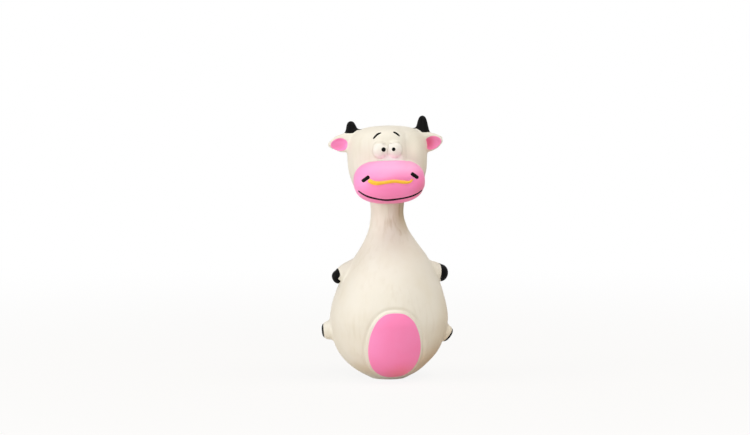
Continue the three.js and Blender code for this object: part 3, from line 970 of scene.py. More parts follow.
@dataclass
class Shape:
    """A mesh in the making: its points in millimetres and its faces."""

    points: Array
    faces: list[list[int]]

    def made(self, name: str, material: bpy.types.Material) -> bpy.types.Object:
        """A smooth shaded object of this mesh.

        Args:
            name: The piece's name.
            material: What it is dressed in.

        Returns:
            The object, at the origin.
        """
        mesh = bpy.data.meshes.new(name)
        mesh.from_pydata((self.points * METRES).tolist(), [], self.faces)
        mesh.shade_smooth()
        mesh.materials.append(material)
        piece = bpy.data.objects.new(name, mesh)
        bpy.context.scene.collection.objects.link(piece)
        return piece


def surface_net(surface: Field, low: Array, high: Array, step: float) -> tuple[Array, Array]:
    """A net of four-sided faces over a surface.

    Each cell that the surface crosses gets a point, the mean of where the cell's edges cross it, and
    each crossed edge gets a face between the four cells round it.

    Args:
        surface: The distance to the surface.
        low: The lowest corner of the space that holds it.
        high: The highest corner.
        step: The space between the net's points.

    Returns:
        The net's points and its faces.
    """
    counts = np.ceil((high - low) / step).astype(int) + 1
    axes = [low[k] + step * np.arange(counts[k]) for k in range(3)]
    grid = np.stack(np.meshgrid(*axes, indexing="ij"), axis=-1)
    values = surface(grid.reshape(-1, 3)).reshape(counts)
    cells = counts - 1
    total = np.zeros((cells.prod(), 3))
    met = np.zeros(cells.prod())
    faces = []
    for axis in range(3):
        first, second = (axis + 1) % 3, (axis + 2) % 3
        start = np.take(values, range(counts[axis] - 1), axis)
        end = np.take(values, range(1, counts[axis]), axis)
        where = np.argwhere((start < 0) != (end < 0))
        here = tuple(where.T)
        share = start[here] / (start[here] - end[here])
        places = low + where * step
        places[:, axis] += share * step
        corners = []
        # The four cells round each crossed edge, in order
        for u, v in ((-1, -1), (0, -1), (0, 0), (-1, 0)):
            cell = where.copy()
            cell[:, first] += u
            cell[:, second] += v
            flat = np.ravel_multi_index(tuple(cell.T), tuple(cells), mode="clip")
            met += np.bincount(flat, minlength=len(met))
            for k in range(3):
                total[:, k] += np.bincount(flat, places[:, k], minlength=len(met))
            corners.append(flat)
        face = np.stack(corners, axis=1)
        outward = start[here] < 0
        faces.append(np.where(outward[:, None], face, face[:, ::-1]))
    used = np.flatnonzero(met)
    number = np.zeros(len(met), int)
    number[used] = np.arange(len(used))
    return total[used] / met[used, None], number[np.vstack(faces)]


def edges_of(faces: Array) -> tuple[Array, Array]:
    """Every edge of four-sided faces.

    Args:
        faces: The faces.

    Returns:
        The edges, and for each face the numbers of its four edges.
    """
    pairs = np.sort(np.stack([faces, np.roll(faces, -1, axis=1)], axis=-1).reshape(-1, 2), axis=1)
    keys, number = np.unique(pairs[:, 0] * (faces.max() + 1) + pairs[:, 1], return_inverse=True)
    edges = np.stack([keys // (faces.max() + 1), keys % (faces.max() + 1)], axis=1)
    return edges, number.reshape(faces.shape)


def split_faces(points: Array, faces: Array) -> tuple[Array, Array]:
    """Each four-sided face parted in four.

    Args:
        points: The mesh's points.
        faces: Its faces.

    Returns:
        The new points and faces.
    """
    edges, number = edges_of(faces)
    middle = len(points) + number
    centre = np.arange(len(faces)) + len(points) + len(edges)
    grown = np.vstack([points, points[edges].mean(1), points[faces].mean(1)])
    parted = [
        np.stack([faces[:, k], middle[:, k], centre, middle[:, k - 1]], axis=1) for k in range(4)
    ]
    return grown, np.vstack(parted)


def relaxed(surface: Field, points: Array, faces: Array, rounds: int) -> Array:
    """Evens out a net on its surface.

    Args:
        surface: The distance to the surface.
        points: The net's points.
        faces: Its faces.
        rounds: How often the points move towards their neighbours.

    Returns:
        The moved points.
    """
    edges, _ = edges_of(faces)
    ends = np.concatenate([edges[:, 0], edges[:, 1]])
    others = np.concatenate([edges[:, 1], edges[:, 0]])
    count = np.bincount(ends, minlength=len(points))[:, None]
    for _ in range(rounds):
        sums = [np.bincount(ends, points[others, k], minlength=len(points)) for k in range(3)]
        points = settle(surface, (points + np.stack(sums, axis=1) / count) / 2, 1)
    return settle(surface, points)


# How often a thrown point moves on, and by what share of the distance that is left
THROW_ROUNDS = 36
THROW_SHARE = 0.92


def struck(surface: Field, origins: Array, directions: Array, way: Projection) -> Array:
    """Where rays meet a surface.

    Args:
        surface: The distance to the surface.
        origins: Where the rays start, inside for a radial way and outside for a parallel one.
        directions: Their directions, one long.
        way: How they are thrown.

    Returns:
        The points that they meet.
    """
    reach = np.zeros(len(origins))
    for _ in range(THROW_ROUNDS):
        reach += way.value * THROW_SHARE * surface(origins + reach[:, None] * directions)
    return origins + reach[:, None] * directions


def closed_layer(surface: Field, points: Array, heights: Array, depth: float) -> Shape:
    """A thin closed layer on a surface.

    Args:
        surface: The distance to the surface.
        points: A square net of points on it, rows by columns.
        heights: How far the layer's top is above each of them.
        depth: How far its underside is below them.

    Returns:
        The layer's mesh.
    """
    rows, columns = heights.shape
    flat = points.reshape(-1, 3)
    out = normals(surface, flat)
    top = flat + out * heights.reshape(-1, 1)
    under = flat - out * depth
    number = np.arange(rows * columns).reshape(rows, columns)
    face = np.stack([number[:-1, :-1], number[:-1, 1:], number[1:, 1:], number[1:, :-1]], axis=-1)
    face = face.reshape(-1, 4)
    corners = top[face[:, :3]]
    turn = np.cross(corners[:, 1] - corners[:, 0], corners[:, 2] - corners[:, 1])
    if (turn * out[face[:, 0]]).sum() < 0:
        face = face[:, ::-1]
    rim = np.concatenate([number[0, :-1], number[:-1, -1], number[-1, :0:-1], number[:0:-1, 0]])
    follow = np.roll(rim, -1)
    # The skirt runs against the top's own way along the rim, so that it faces out
    steps = {tuple(pair) for k in range(4) for pair in face[:, [k, (k + 1) % 4]]}
    if (rim[0], follow[0]) not in steps:
        rim, follow = follow, rim
    skirt = np.stack([follow, rim, rim + len(flat), follow + len(flat)], axis=1)
    faces = np.vstack([face, face[:, ::-1] + len(flat), skirt])
    return Shape(np.vstack([top, under]), faces.tolist())


# The points of a coat's rounded rim: shares of the rim from its edge, and of the coat's height
RIM_PLACES = np.array([1, 0.6, 0.32, 0.12, 0])
RIM_HEIGHTS = np.array([1, 0.92, 0.72, 0.4, -0.25])


@dataclass(frozen=True)
class CoatSizes:
    """How a coat is thrown on to the skin and how far it may reach, its height and its rim."""

    way: Projection
    reach: float
    rings: int
    height: float = 0.2
    rim: float = 0.5
    depth: float = 0.35
    start: float = 30.0
    probes: int = 30
    halvings: int = 9


@dataclass
class Coat:
    """A brushed coat: a layer on the skin up to an edge, with its rim rounded down.

    Places on it are polar, about a middle: an angle around, and a distance or angle away from it.
    """

    surface: Field
    edge: Field
    place: Place
    sizes: CoatSizes

    def thrown(self, around: Array, away: Array) -> Array:
        """Points of the skin at polar places.

        Args:
            around: Angles around the middle.
            away: Angles from the axis for a radial coat, and lengths for a parallel one.

        Returns:
            The points, one row each.
        """
        ring = np.stack([np.cos(around), np.sin(around), np.zeros_like(around)], axis=1)
        axis = np.array([0.0, 0.0, 1.0])
        way = self.sizes.way
        if way is Projection.RADIAL:
            directions = ring * np.sin(away)[:, None] + axis * np.cos(away)[:, None]
            origins = np.zeros_like(directions)
        else:
            origins = ring * away[:, None] + axis * self.sizes.start
            directions = np.broadcast_to(-axis, origins.shape)
        return struck(self.surface, self.place.world(origins), self.place.turned(directions), way)

    def edge_line(self, count: int) -> tuple[Array, Array]:
        """Where the coat ends, around its middle.

        Args:
            count: How many angles are looked at.

        Returns:
            The angles, and how far the coat reaches at each.
        """
        around = np.linspace(0, 2 * math.pi, count, endpoint=False)
        away = np.linspace(0, self.sizes.reach, self.sizes.probes)[1:]
        angles, ways = np.repeat(around, len(away)), np.tile(away, count)
        beyond = (self.edge(self.thrown(angles, ways)) > 0).reshape(count, -1)
        beyond[:, -1] = True
        first = beyond.argmax(1)
        high = away[first]
        low = np.where(first > 0, away[first - 1], 0)
        for _ in range(self.sizes.halvings):
            middle = (low + high) / 2
            outside = self.edge(self.thrown(around, middle)) > 0
            high = np.where(outside, middle, high)
            low = np.where(outside, low, middle)
        ends = (low + high) / 2
        return around, (np.roll(ends, 1) + 2 * ends + np.roll(ends, -1)) / 4

    def shape(self) -> Shape:
        """The coat's closed mesh, a square net drawn round: each square of it becomes a ring.

        Returns:
            The mesh.
        """
        sizes = self.sizes
        around, ends = self.edge_line(sizes.rings * 8)  # an angle for each point of the last ring
        count = np.arange(-sizes.rings, sizes.rings + 1)
        i, j = (grid.astype(float) for grid in np.meshgrid(count, count, indexing="ij"))
        ring = np.maximum(np.abs(i), np.abs(j)).astype(int)
        across = np.abs(i) >= np.abs(j)
        # A point's angle is its share along its own side of the square, a quarter of the round
        with np.errstate(divide="ignore", invalid="ignore"):
            angle = np.where(
                across, np.pi / 4 * j / i + np.pi * (i < 0), np.pi / 2 - np.pi / 4 * i / j + np.pi * (j < 0),
            )
        angle = np.where(ring == 0, 0, angle).ravel()
        end = np.interp(angle, around, ends, period=2 * math.pi)
        # The inner rings are evenly spaced, and those beyond them make the rim
        inner = sizes.rings - len(RIM_PLACES) + 1
        rim = sizes.rim
        if sizes.way is Projection.RADIAL:
            # Seen from the middle, the rim's width is an angle
            middle = self.place.world(np.zeros(3))
            rim = sizes.rim / np.linalg.norm(self.thrown(angle, end) - middle, axis=1)
        number = ring.ravel()
        late = np.clip(number - inner, 0, len(RIM_PLACES) - 1)
        away = np.where(number <= inner, (end - rim) * number / inner, end - rim * RIM_PLACES[late])
        heights = sizes.height * np.where(number <= inner, 1, RIM_HEIGHTS[late])
        points = self.thrown(angle, np.maximum(away, 0)).reshape(*ring.shape, 3)
        return closed_layer(self.surface, points, heights.reshape(ring.shape), sizes.depth)


@dataclass(frozen=True)
class StrokeSizes:
    """A line's width and height, how both swell along it, and how finely it is parted."""

    width: float
    height: float
    swell: tuple[float, ...] = (1, 1)
    steps: int = 60
    strands: int = 10
    start: float = -45.0
    depth: float = 0.35
    sunk: float = 0.04
    least_end: float = 0.0004


@dataclass
class Stroke:
    """A brushed line or a laid bead along a path seen from the front, with round ends."""

    surface: Field
    place: Place
    path: Sequence
    sizes: StrokeSizes

    def shape(self) -> Shape:
        """The stroke's closed mesh.

        Returns:
            The mesh.
        """
        sizes = self.sizes
        line = even_line(self.path, sizes.steps + 1)
        along = np.gradient(line, axis=0)
        along /= np.linalg.norm(along, axis=1, keepdims=True)
        across = np.stack([-along[:, 1], along[:, 0]], axis=1)
        length = np.linalg.norm(np.diff(line, axis=0), axis=1).sum()
        places = np.linspace(0, length, sizes.steps + 1)
        # Along the path the width ends in two half circles, and swells and narrows between them
        to_end = np.minimum(places, length - places) / (sizes.width / 2)
        ends = np.sqrt(np.clip(1 - (1 - np.minimum(to_end, 1)) ** 2, sizes.least_end, 1))
        swell_places = np.linspace(0, 1, len(sizes.swell))
        swell = np.interp(np.linspace(0, 1, sizes.steps + 1), swell_places, sizes.swell)
        # Across it the strands go over from one side to the other
        turns = np.linspace(0, math.pi, sizes.strands + 1)
        side = -np.cos(turns)
        flat = line[:, None, :] + across[:, None, :] * (
            side[None, :, None] * (ends * swell * sizes.width / 2)[:, None, None]
        )
        heights = sizes.height * (ends * swell)[:, None] * np.sqrt(np.sin(turns))[None, :] - sizes.sunk
        front = np.stack([flat[..., 0], np.full(flat.shape[:2], sizes.start), flat[..., 1]], axis=-1)
        directions = np.broadcast_to([0.0, 1.0, 0.0], front.shape).reshape(-1, 3)
        origins = self.place.world(front.reshape(-1, 3))
        points = struck(self.surface, origins, self.place.turned(directions), Projection.PARALLEL)
        return closed_layer(self.surface, points.reshape(front.shape), heights, sizes.depth)


def turned_shape(outline: Array, angles: Array) -> Shape:
    """A closed mesh turned about the Z axis.

    Args:
        outline: [radius, height] points, from the axis and back to it, solid to the left of the way.
        angles: The angles of the mesh's sides.

    Returns:
        The mesh.
    """
    count = len(angles)
    rings = [[r * math.cos(a), r * math.sin(a), z] for r, z in outline for a in angles]
    faces = []
    for row in range(len(outline) - 1):
        for k in range(count):
            after = (k + 1) % count
            faces.append([
                row * count + k, row * count + after, (row + 1) * count + after, (row + 1) * count + k,
            ])
    last = (len(outline) - 1) * count
    faces.append(list(range(count))[::-1])
    faces.append([last + k for k in range(count)])
    return Shape(np.array(rings), faces)


def rounded(corners: Sequence, radius: float, steps: int = 4) -> Array:
    """An outline with its corners rounded.

    Args:
        corners: The outline's corner points, the first and last of which stay.
        radius: How far from a corner its rounding starts.
        steps: Pieces in each rounding.

    Returns:
        The rounded outline.
    """
    corners = np.asarray(corners, float)
    most = 0.45  # the longest share of a side that one corner's rounding takes
    points = [corners[0]]
    for before, corner, after in zip(corners, corners[1:], corners[2:]):
        into, out = corner - before, after - corner
        reach = min(radius, np.linalg.norm(into) * most, np.linalg.norm(out) * most)
        start = corner - into / np.linalg.norm(into) * reach
        end = corner + out / np.linalg.norm(out) * reach
        for share in np.linspace(0, 1, steps + 1):
            points.append((1 - share) ** 2 * start + 2 * share * (1 - share) * corner + share**2 * end)
    points.append(corners[-1])
    return np.array(points)


# Materials


def linear(colour: Colour) -> tuple[float, float, float, float]:
    """A colour as it is written on a screen, turned to light, with full cover.

    Args:
        colour: Its red, green and blue, from 0 to 255.

    Returns:
        The light's red, green, blue and cover, from 0 to 1.
    """
    shares = [part / 255 for part in colour]
    light = [s / 12.92 if s <= 0.04045 else ((s + 0.055) / 1.055) ** 2.4 for s in shares]
    return light[0], light[1], light[2], 1.0


class Value:
    """A number over a surface, which takes Python's own sums."""

    def __init__(self, graph: "Graph", socket: bpy.types.NodeSocket) -> None:
        """Wraps a socket of a graph."""
        self.graph = graph
        self.socket = socket

    def __add__(self, other: "Value | float") -> "Value":
        """The sum of two values."""
        return self.graph.sum("ADD", self, other)

    def __sub__(self, other: "Value | float") -> "Value":
        """This value less another."""
        return self.graph.sum("SUBTRACT", self, other)

    def __rsub__(self, other: float) -> "Value":
        """Another value less this one."""
        return self.graph.sum("SUBTRACT", other, self)

    def __mul__(self, other: "Value | float") -> "Value":
        """The product of two values."""
        return self.graph.sum("MULTIPLY", self, other)

    __radd__ = __add__
    __rmul__ = __mul__

    def between(self, low: float, high: float) -> "Value":
        """0 where the value is below low, 1 where it is above high, and a smooth rise between.

        Args:
            low: Where the rise starts.
            high: Where it ends.

        Returns:
            The value between 0 and 1.
        """
        found = self.graph.node(
            "ShaderNodeMapRange", {"interpolation_type": "SMOOTHSTEP"},
            {"Value": self, "From Min": low, "From Max": high},
        )
        return Value(self.graph, found.outputs["Result"])


# The places of the two colours and of their mix among a Mix node's sockets
MIX_FIRST, MIX_SECOND, MIX_RESULT = 6, 7, 2


class Graph:
    """The nodes of one material or of the world."""

    def __init__(self, owner: bpy.types.Material | bpy.types.World) -> None:
        """Starts without any nodes.

        Args:
            owner: The material or the world.
        """
        self.owner = owner
        self.owner.use_nodes = True
        self.tree = owner.node_tree
        self.tree.nodes.clear()

    def node(self, kind: str, settings: dict | None = None, sockets: dict | None = None) -> bpy.types.Node:
        """Adds a node.

        Args:
            kind: The node's type.
            settings: What is set on the node itself, before its sockets.
            sockets: A value or a link for each socket, by name or number.

        Returns:
            The node.
        """
        made = self.tree.nodes.new(kind)
        for name, value in (settings or {}).items():
            setattr(made, name, value)
        for name, value in (sockets or {}).items():
            if isinstance(value, Value):
                value = value.socket
            if isinstance(value, bpy.types.NodeSocket):
                self.tree.links.new(value, made.inputs[name])
            else:
                made.inputs[name].default_value = value
        return made

    def sum(self, operation: str, first: Value | float, second: Value | float) -> Value:
        """A value worked out from two others."""
        made = self.node("ShaderNodeMath", {"operation": operation}, {0: first, 1: second})
        return Value(self, made.outputs[0])

    def vector(self, operation: str, first: object, second: object) -> bpy.types.Node:
        """A vector worked out from two others."""
        return self.node("ShaderNodeVectorMath", {"operation": operation}, {0: first, 1: second})

    def position(self) -> bpy.types.NodeSocket:
        """The place on the piece, in metres in the toy's frame."""
        return self.node("ShaderNodeTexCoord").outputs["Object"]

    def noise(self, per_metre: Sequence, detail: float = 2.0, roughness: float = 0.5) -> Value:
        """Cloudy noise from 0 to 1.

        Args:
            per_metre: How many clouds there are in a metre, along X, Y and Z.
            detail: How many finer layers it has.
            roughness: How strong these are.

        Returns:
            The noise.
        """
        scaled = self.vector("MULTIPLY", self.position(), tuple(per_metre)).outputs[0]
        sockets = {"Vector": scaled, "Scale": 1.0, "Detail": detail, "Roughness": roughness}
        return Value(self, self.node("ShaderNodeTexNoise", None, sockets).outputs["Fac"])

    def near(self, centre: Sequence, reach: Sequence) -> Value:
        """1 at a point and 0 beyond a reach from it, in millimetres.

        Args:
            centre: The point.
            reach: How far it fades along X, Y and Z.

        Returns:
            The fading value.
        """
        offset = self.vector("SUBTRACT", self.position(), tuple(c * METRES for c in centre)).outputs[0]
        share = self.vector("DIVIDE", offset, tuple(r * METRES for r in reach)).outputs[0]
        length = self.node("ShaderNodeVectorMath", {"operation": "LENGTH"}, {0: share}).outputs["Value"]
        return 1 - Value(self, length).between(0.0, 1.0)

    def mixed(self, share: Value, first: object, second: object) -> bpy.types.NodeSocket:
        """A colour between two others.

        Args:
            share: How much of the second colour there is.
            first: A colour or the socket of one.
            second: A colour or the socket of one.

        Returns:
            The mixed colour's socket.
        """
        settings = {"data_type": "RGBA", "clamp_factor": True}
        sockets = {"Factor": share, MIX_FIRST: first, MIX_SECOND: second}
        return self.node("ShaderNodeMix", settings, sockets).outputs[MIX_RESULT]

    def bump(self, height: Value, distance: float, strength: float) -> bpy.types.NodeSocket:
        """A normal that stands for small relief.

        Args:
            height: The relief, from 0 to 1.
            distance: How high 1 is, in millimetres.
            strength: How much of it shows.

        Returns:
            The normal's socket.
        """
        sockets = {"Strength": strength, "Distance": distance * METRES, "Height": height}
        return self.node("ShaderNodeBump", None, sockets).outputs["Normal"]

    def finish(self, sockets: dict) -> bpy.types.Material:
        """Ends the material in one glossy surface.

        Args:
            sockets: What goes to each of the surface's sockets.

        Returns:
            The material.
        """
        surface = self.node("ShaderNodeBsdfPrincipled", None, sockets)
        self.node("ShaderNodeOutputMaterial", None, {"Surface": surface.outputs[0]})
        return self.owner


@dataclass(frozen=True)
class Spot:
    """A soft patch of another colour round a point: mostly painted light or painted shade, and on the eye
    whites a sprayed pink blush.
    """

    centre: Point
    reach: Point
    colour: Colour
    strength: float


@dataclass(frozen=True)
class Ripple:
    """Drawn streaks in a casting's skin: deep ones round a point, and faint ones elsewhere. Their relief is a
    bump, and the tan in them is painted shade of their furrows.
    """

    strength: float
    centre: Point
    reach: Point
    colour: Colour
    painted_shade_share: float = 0.4
    elsewhere: float = 0.14
    streaks_per_metre: Point = (430, 430, 44)
    fields_per_metre: Point = (46, 46, 30)
    field_edges: Pair = (0.38, 0.62)
    relief_edges: Pair = (0.3, 0.75)
    painted_shade_edges: Pair = (0.48, 0.72)

    def draw(
        self, graph: Graph, relief: Value, colour: bpy.types.NodeSocket,
    ) -> tuple[Value, bpy.types.NodeSocket]:
        """Adds the streaks to a finish.

        Args:
            graph: The finish's nodes.
            relief: Its relief so far.
            colour: Its colour so far.

        Returns:
            The relief, and the colour with the streaks' painted shade.
        """
        streaks = graph.noise(self.streaks_per_metre, detail=2, roughness=0.45)
        fields = graph.noise(self.fields_per_metre, detail=1, roughness=0.5).between(*self.field_edges)
        fields = (fields * self.elsewhere + graph.near(self.centre, self.reach)) * self.strength
        # The tan mixed into the streaks is painted shade of their furrows
        share = streaks.between(*self.painted_shade_edges) * fields * self.painted_shade_share
        relief = relief + streaks.between(*self.relief_edges) * fields
        return relief, graph.mixed(share, colour, linear(self.colour))


@dataclass(frozen=True)
class Latex:
    """Coloured latex, cast or brushed: clouds of a second colour, a dull skin, fine relief, and soft patches
    of painted light and shade.
    """

    name: str
    colour: Colour
    cloud: Colour
    cloud_share: float = 0.5
    roughness: float = 0.5
    gloss: float = 0.34
    relief: float = 0.05
    painted_light_and_spray: tuple[Spot, ...] = ()
    ripple: Ripple | None = None
    clouds_per_metre: Point = (62, 62, 48)
    cloud_edges: Pair = (0.36, 0.72)
    cloud_relief: float = 0.15
    grains_per_metre: Point = (900, 900, 900)
    roughness_spread: float = 0.08
    spot_spread: float = 0.4
    bump_height: float = 0.35
    bump_strength: float = 0.6

    def material(self) -> bpy.types.Material:
        """The finish as a material.

        Returns:
            The material.
        """
        graph = Graph(bpy.data.materials.new(self.name))
        broad = graph.noise(self.clouds_per_metre, detail=3, roughness=0.55)
        fine = graph.noise(self.grains_per_metre, detail=2, roughness=0.5)
        clouds = broad.between(*self.cloud_edges) * self.cloud_share
        colour = graph.mixed(clouds, linear(self.colour), linear(self.cloud))
        uneven = 1 - self.spot_spread / 2 + broad * self.spot_spread
        # Each patch mixes in its colour round a point: mostly painted light and painted shade, and on the eye
        # whites a sprayed blush.
        for spot in self.painted_light_and_spray:
            share = graph.near(spot.centre, spot.reach) * uneven * spot.strength
            colour = graph.mixed(share, colour, linear(spot.colour))
        relief = fine * self.relief + broad * self.cloud_relief
        if self.ripple:
            relief, colour = self.ripple.draw(graph, relief, colour)
        return graph.finish({
            "Base Color": colour,
            "Roughness": self.roughness + (fine + broad - 1) * self.roughness_spread,
            "Specular IOR Level": self.gloss,
            "IOR": 1.5,
            "Normal": graph.bump(relief, self.bump_height, self.bump_strength),
        })


@dataclass(frozen=True)
class Plastic:
    """Moulded plastic of the squeaker: milky, with fine flow marks."""

    name: str
    colour: Colour
    roughness: float
    transmission: float
    flow_per_metre: Point = (260, 260, 70)
    flow_edges: Pair = (0.35, 0.7)
    flow_shade: float = 0.93
    flow_relief: float = 0.6
    grains_per_metre: Point = (2400, 2400, 2400)
    grain_relief: float = 0.1
    roughness_spread: float = 0.1
    bump_height: float = 0.12
    bump_strength: float = 0.4

    def material(self) -> bpy.types.Material:
        """The finish as a material.

        Returns:
            The material.
        """
        graph = Graph(bpy.data.materials.new(self.name))
        flow = graph.noise(self.flow_per_metre, detail=3, roughness=0.5)
        fine = graph.noise(self.grains_per_metre, detail=1, roughness=0.5)
        shaded = tuple(round(part * self.flow_shade) for part in self.colour)
        relief = flow * self.flow_relief + fine * self.grain_relief
        return graph.finish({
            "Base Color": graph.mixed(flow.between(*self.flow_edges), linear(self.colour), linear(shaded)),
            "Roughness": self.roughness + fine * self.roughness_spread,
            "Transmission Weight": self.transmission,
            "IOR": 1.49,
            "Normal": graph.bump(relief, self.bump_height, self.bump_strength),
        })


Finish = Latex | Plastic


# Pieces


def dressed(finish: Finish) -> bpy.types.Material:
    """The material of a finish, made once."""
    return bpy.data.materials.get(finish.name) or finish.material()


def install(shape: Shape, name: str, finish: Finish, nodes: Sequence[str]) -> bpy.types.Object:
    """Puts a finished piece on the toy.

    Args:
        shape: The piece's mesh.
        name: Its name.
        finish: What it is made of.
        nodes: The solids that it stands for.

    Returns:
        The piece.
    """
    piece = shape.made(name, dressed(finish))
    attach(piece, TOY_BODY)
    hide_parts(*nodes)
    log.info("%s: %d points, %d faces", name, len(shape.points), len(shape.faces))
    return piece


@dataclass
class LatexSkin:
    """The hollow casting, with the socket in its foot and the air chamber in its body."""

    form: ToyForm
    finish: Latex
    net_step: float = 1.12
    wall: float = 2.2
    rim_radius: float = 7.7
    socket_radius: float = 6.8
    socket_depth: float = 2.0
    hole_radius: float = 5.3
    floor: float = 4.0
    boss_radius: float = 8.4
    mouth_round: float = 0.3
    chamber_top: float = 93.0
    chamber_top_rise: float = 1.2
    chamber_top_share: float = 0.5
    chamber_stride: int = 3
    foot_depth: float = 1.0
    space_low: Point = (-37.0, -34.0, -3.0)
    space_high: Point = (37.0, 34.0, 138.0)

    def inside_line(self) -> Array:
        """The outline of socket, hole and air chamber, from the foot's rim to the chamber's top.

        Returns:
            Its [radius, height] points.
        """
        mouth = rounded([
            (self.rim_radius, 0), (self.socket_radius, 0), (self.socket_radius, self.socket_depth),
            (self.hole_radius, self.socket_depth), (self.hole_radius, self.floor),
            (self.boss_radius, self.floor),
        ], self.mouth_round)
        line = self.form.body.line
        along = np.gradient(line, axis=0)
        along /= np.linalg.norm(along, axis=1, keepdims=True)
        wall = line + np.stack([-along[:, 1], along[:, 0]], axis=1) * self.wall
        inside = (wall[:, 1] > self.floor + self.mouth_round) & (wall[:, 1] < self.chamber_top)
        chamber = wall[inside][::self.chamber_stride]
        top = [chamber[-1, 0] * self.chamber_top_share, self.chamber_top + self.chamber_top_rise]
        return np.vstack([mouth[1:], chamber, [top]])

    def outside(self) -> tuple[Array, Array]:
        """The net over the casting's outside.

        Returns:
            Its points and its four-sided faces.
        """
        skin = self.form.distance
        points, faces = surface_net(skin, np.array(self.space_low), np.array(self.space_high), self.net_step)
        points = relaxed(skin, points, faces, rounds=2)
        points, faces = split_faces(points, faces)
        return relaxed(skin, points, faces, rounds=3), faces

    def opened(self) -> tuple[Array, Array, list[int]]:
        """The casting's outside, open where the socket is.

        Returns:
            The points, the faces, and the numbers of the points round the opening in order.
        """
        points, faces = self.outside()
        middle = points[faces].mean(1)
        within = np.hypot(middle[:, 0], middle[:, 1]) < self.rim_radius
        under = (middle[:, 2] < self.foot_depth) & within
        faces = faces[~under]
        used = np.unique(faces)
        number = np.zeros(len(points), int)
        number[used] = np.arange(len(used))
        points, faces = points[used], number[faces]
        # An edge that is walked one way only is on the opening's rim
        ways = {(a, b) for face in faces.tolist() for a, b in zip(face, face[1:] + face[:1])}
        follow = {a: b for a, b in ways if (b, a) not in ways}
        loop = [next(iter(follow))]
        while follow[loop[-1]] != loop[0]:
            loop.append(follow[loop[-1]])
        return points, faces, loop

    def shape(self) -> Shape:
        """The casting's mesh, closed through the hole in its foot.

        Returns:
            The mesh.
        """
        points, faces, loop = self.opened()
        angles = np.arctan2(points[loop, 1], points[loop, 0])
        circle = np.stack([np.cos(angles), np.sin(angles)], axis=1)
        points[loop] = np.hstack([circle * self.rim_radius, np.zeros((len(loop), 1))])
        rings, walls = [points], faces.tolist()
        # A ring for each point of the inside's outline, joined to the ring before it
        last, count = loop, len(points)
        for radius, height in self.inside_line():
            across = self.form.body.shift(height) if height > self.floor else 0
            rings.append(np.hstack([circle * radius + [across, 0], np.full((len(loop), 1), height)]))
            ring = list(range(count, count + len(loop)))
            count += len(loop)
            after, before = ring[1:] + ring[:1], last[1:] + last[:1]
            walls.extend([b, a, c, d] for a, b, c, d in zip(last, before, ring, after))
            last = ring
        walls.append(last[::-1])
        return Shape(np.vstack(rings), walls)

    def build(self) -> None:
        """Makes the skin."""
        install(self.shape(), "cast_skin", self.finish, ["latex_skin"])


@dataclass
class BellyPatch:
    """The pink egg on the belly's raised pad."""

    form: ToyForm
    finish: Latex
    brushed: CoatSizes = CoatSizes(Projection.PARALLEL, reach=20, rings=26, height=0.16, start=46)

    def build(self) -> None:
        """Makes the coat."""
        body = self.form.body
        middle = (body.patch_top + body.patch_bottom) / 2
        place = facing_front(np.array([body.patch_shift, 0, middle]), np.eye(3))
        coat = Coat(self.form.distance, body.patch, place, self.brushed)
        install(coat.shape(), "belly_coat", self.finish, ["belly_paint"])


@dataclass
class Muzzle:
    """The muzzle's pink coat with the mouth, the nostrils and the nose ring on it."""

    form: ToyForm
    coat_finish: Latex
    line_finish: Latex
    ring_finish: Latex
    coat: CoatSizes = CoatSizes(Projection.RADIAL, reach=2.6, rings=34)
    mouth: StrokeSizes = StrokeSizes(0.95, 0.42, (0.75, 1, 0.95, 1.1, 0.95, 1, 0.75), steps=130)
    nostril: StrokeSizes = StrokeSizes(1.9, 0.42, steps=36)
    ring: StrokeSizes = StrokeSizes(
        1.7, 0.9, (1.1, 1.25, 1.1, 0.95, 1, 0.95, 1, 0.8, 0.45), steps=110, strands=14,
    )
    face_gap: float = 0.7
    eye_gap: float = 0.4

    def edge(self, points: Array) -> Array:
        """Where the pink stops: short of the face, the eyes and the neck.

        Args:
            points: Points of the skin.

        Returns:
            One distance for each point, above 0 beyond the pink.
        """
        head = self.form.head
        local = head.place.local(points)
        eyes = np.minimum(*(head.eyes[side].distance(local) for side in Side))
        gap = np.minimum(head.face(local), eyes + self.eye_gap)
        return self.face_gap - np.minimum(gap, self.form.body.plain(points))

    def build(self) -> None:
        """Makes coat, mouth, nostrils and ring."""
        head, skin = self.form.head, self.form.distance
        place = facing_front(head.place.world(head.muzzle_centre), head.place.axes)
        coat = Coat(skin, self.edge, place, self.coat)
        install(coat.shape(), "muzzle_coat", self.coat_finish, ["muzzle_paint"])
        mouth = Stroke(skin, head.place, head.on_muzzle(head.mouth_shares), self.mouth)
        install(mouth.shape(), "mouth_stroke", self.line_finish, ["mouth_line"])
        for side in Side:
            nostril = Stroke(skin, head.place, head.nostril_line(side, head.nostril_length), self.nostril)
            name = f"nostril_{side.word}"
            install(nostril.shape(), f"{name}_stroke", self.line_finish, [name])
        ring = Stroke(skin, head.place, head.on_muzzle(head.ring_shares), self.ring)
        install(ring.shape(), "nose_ring_bead", self.ring_finish, ["nose_ring"])


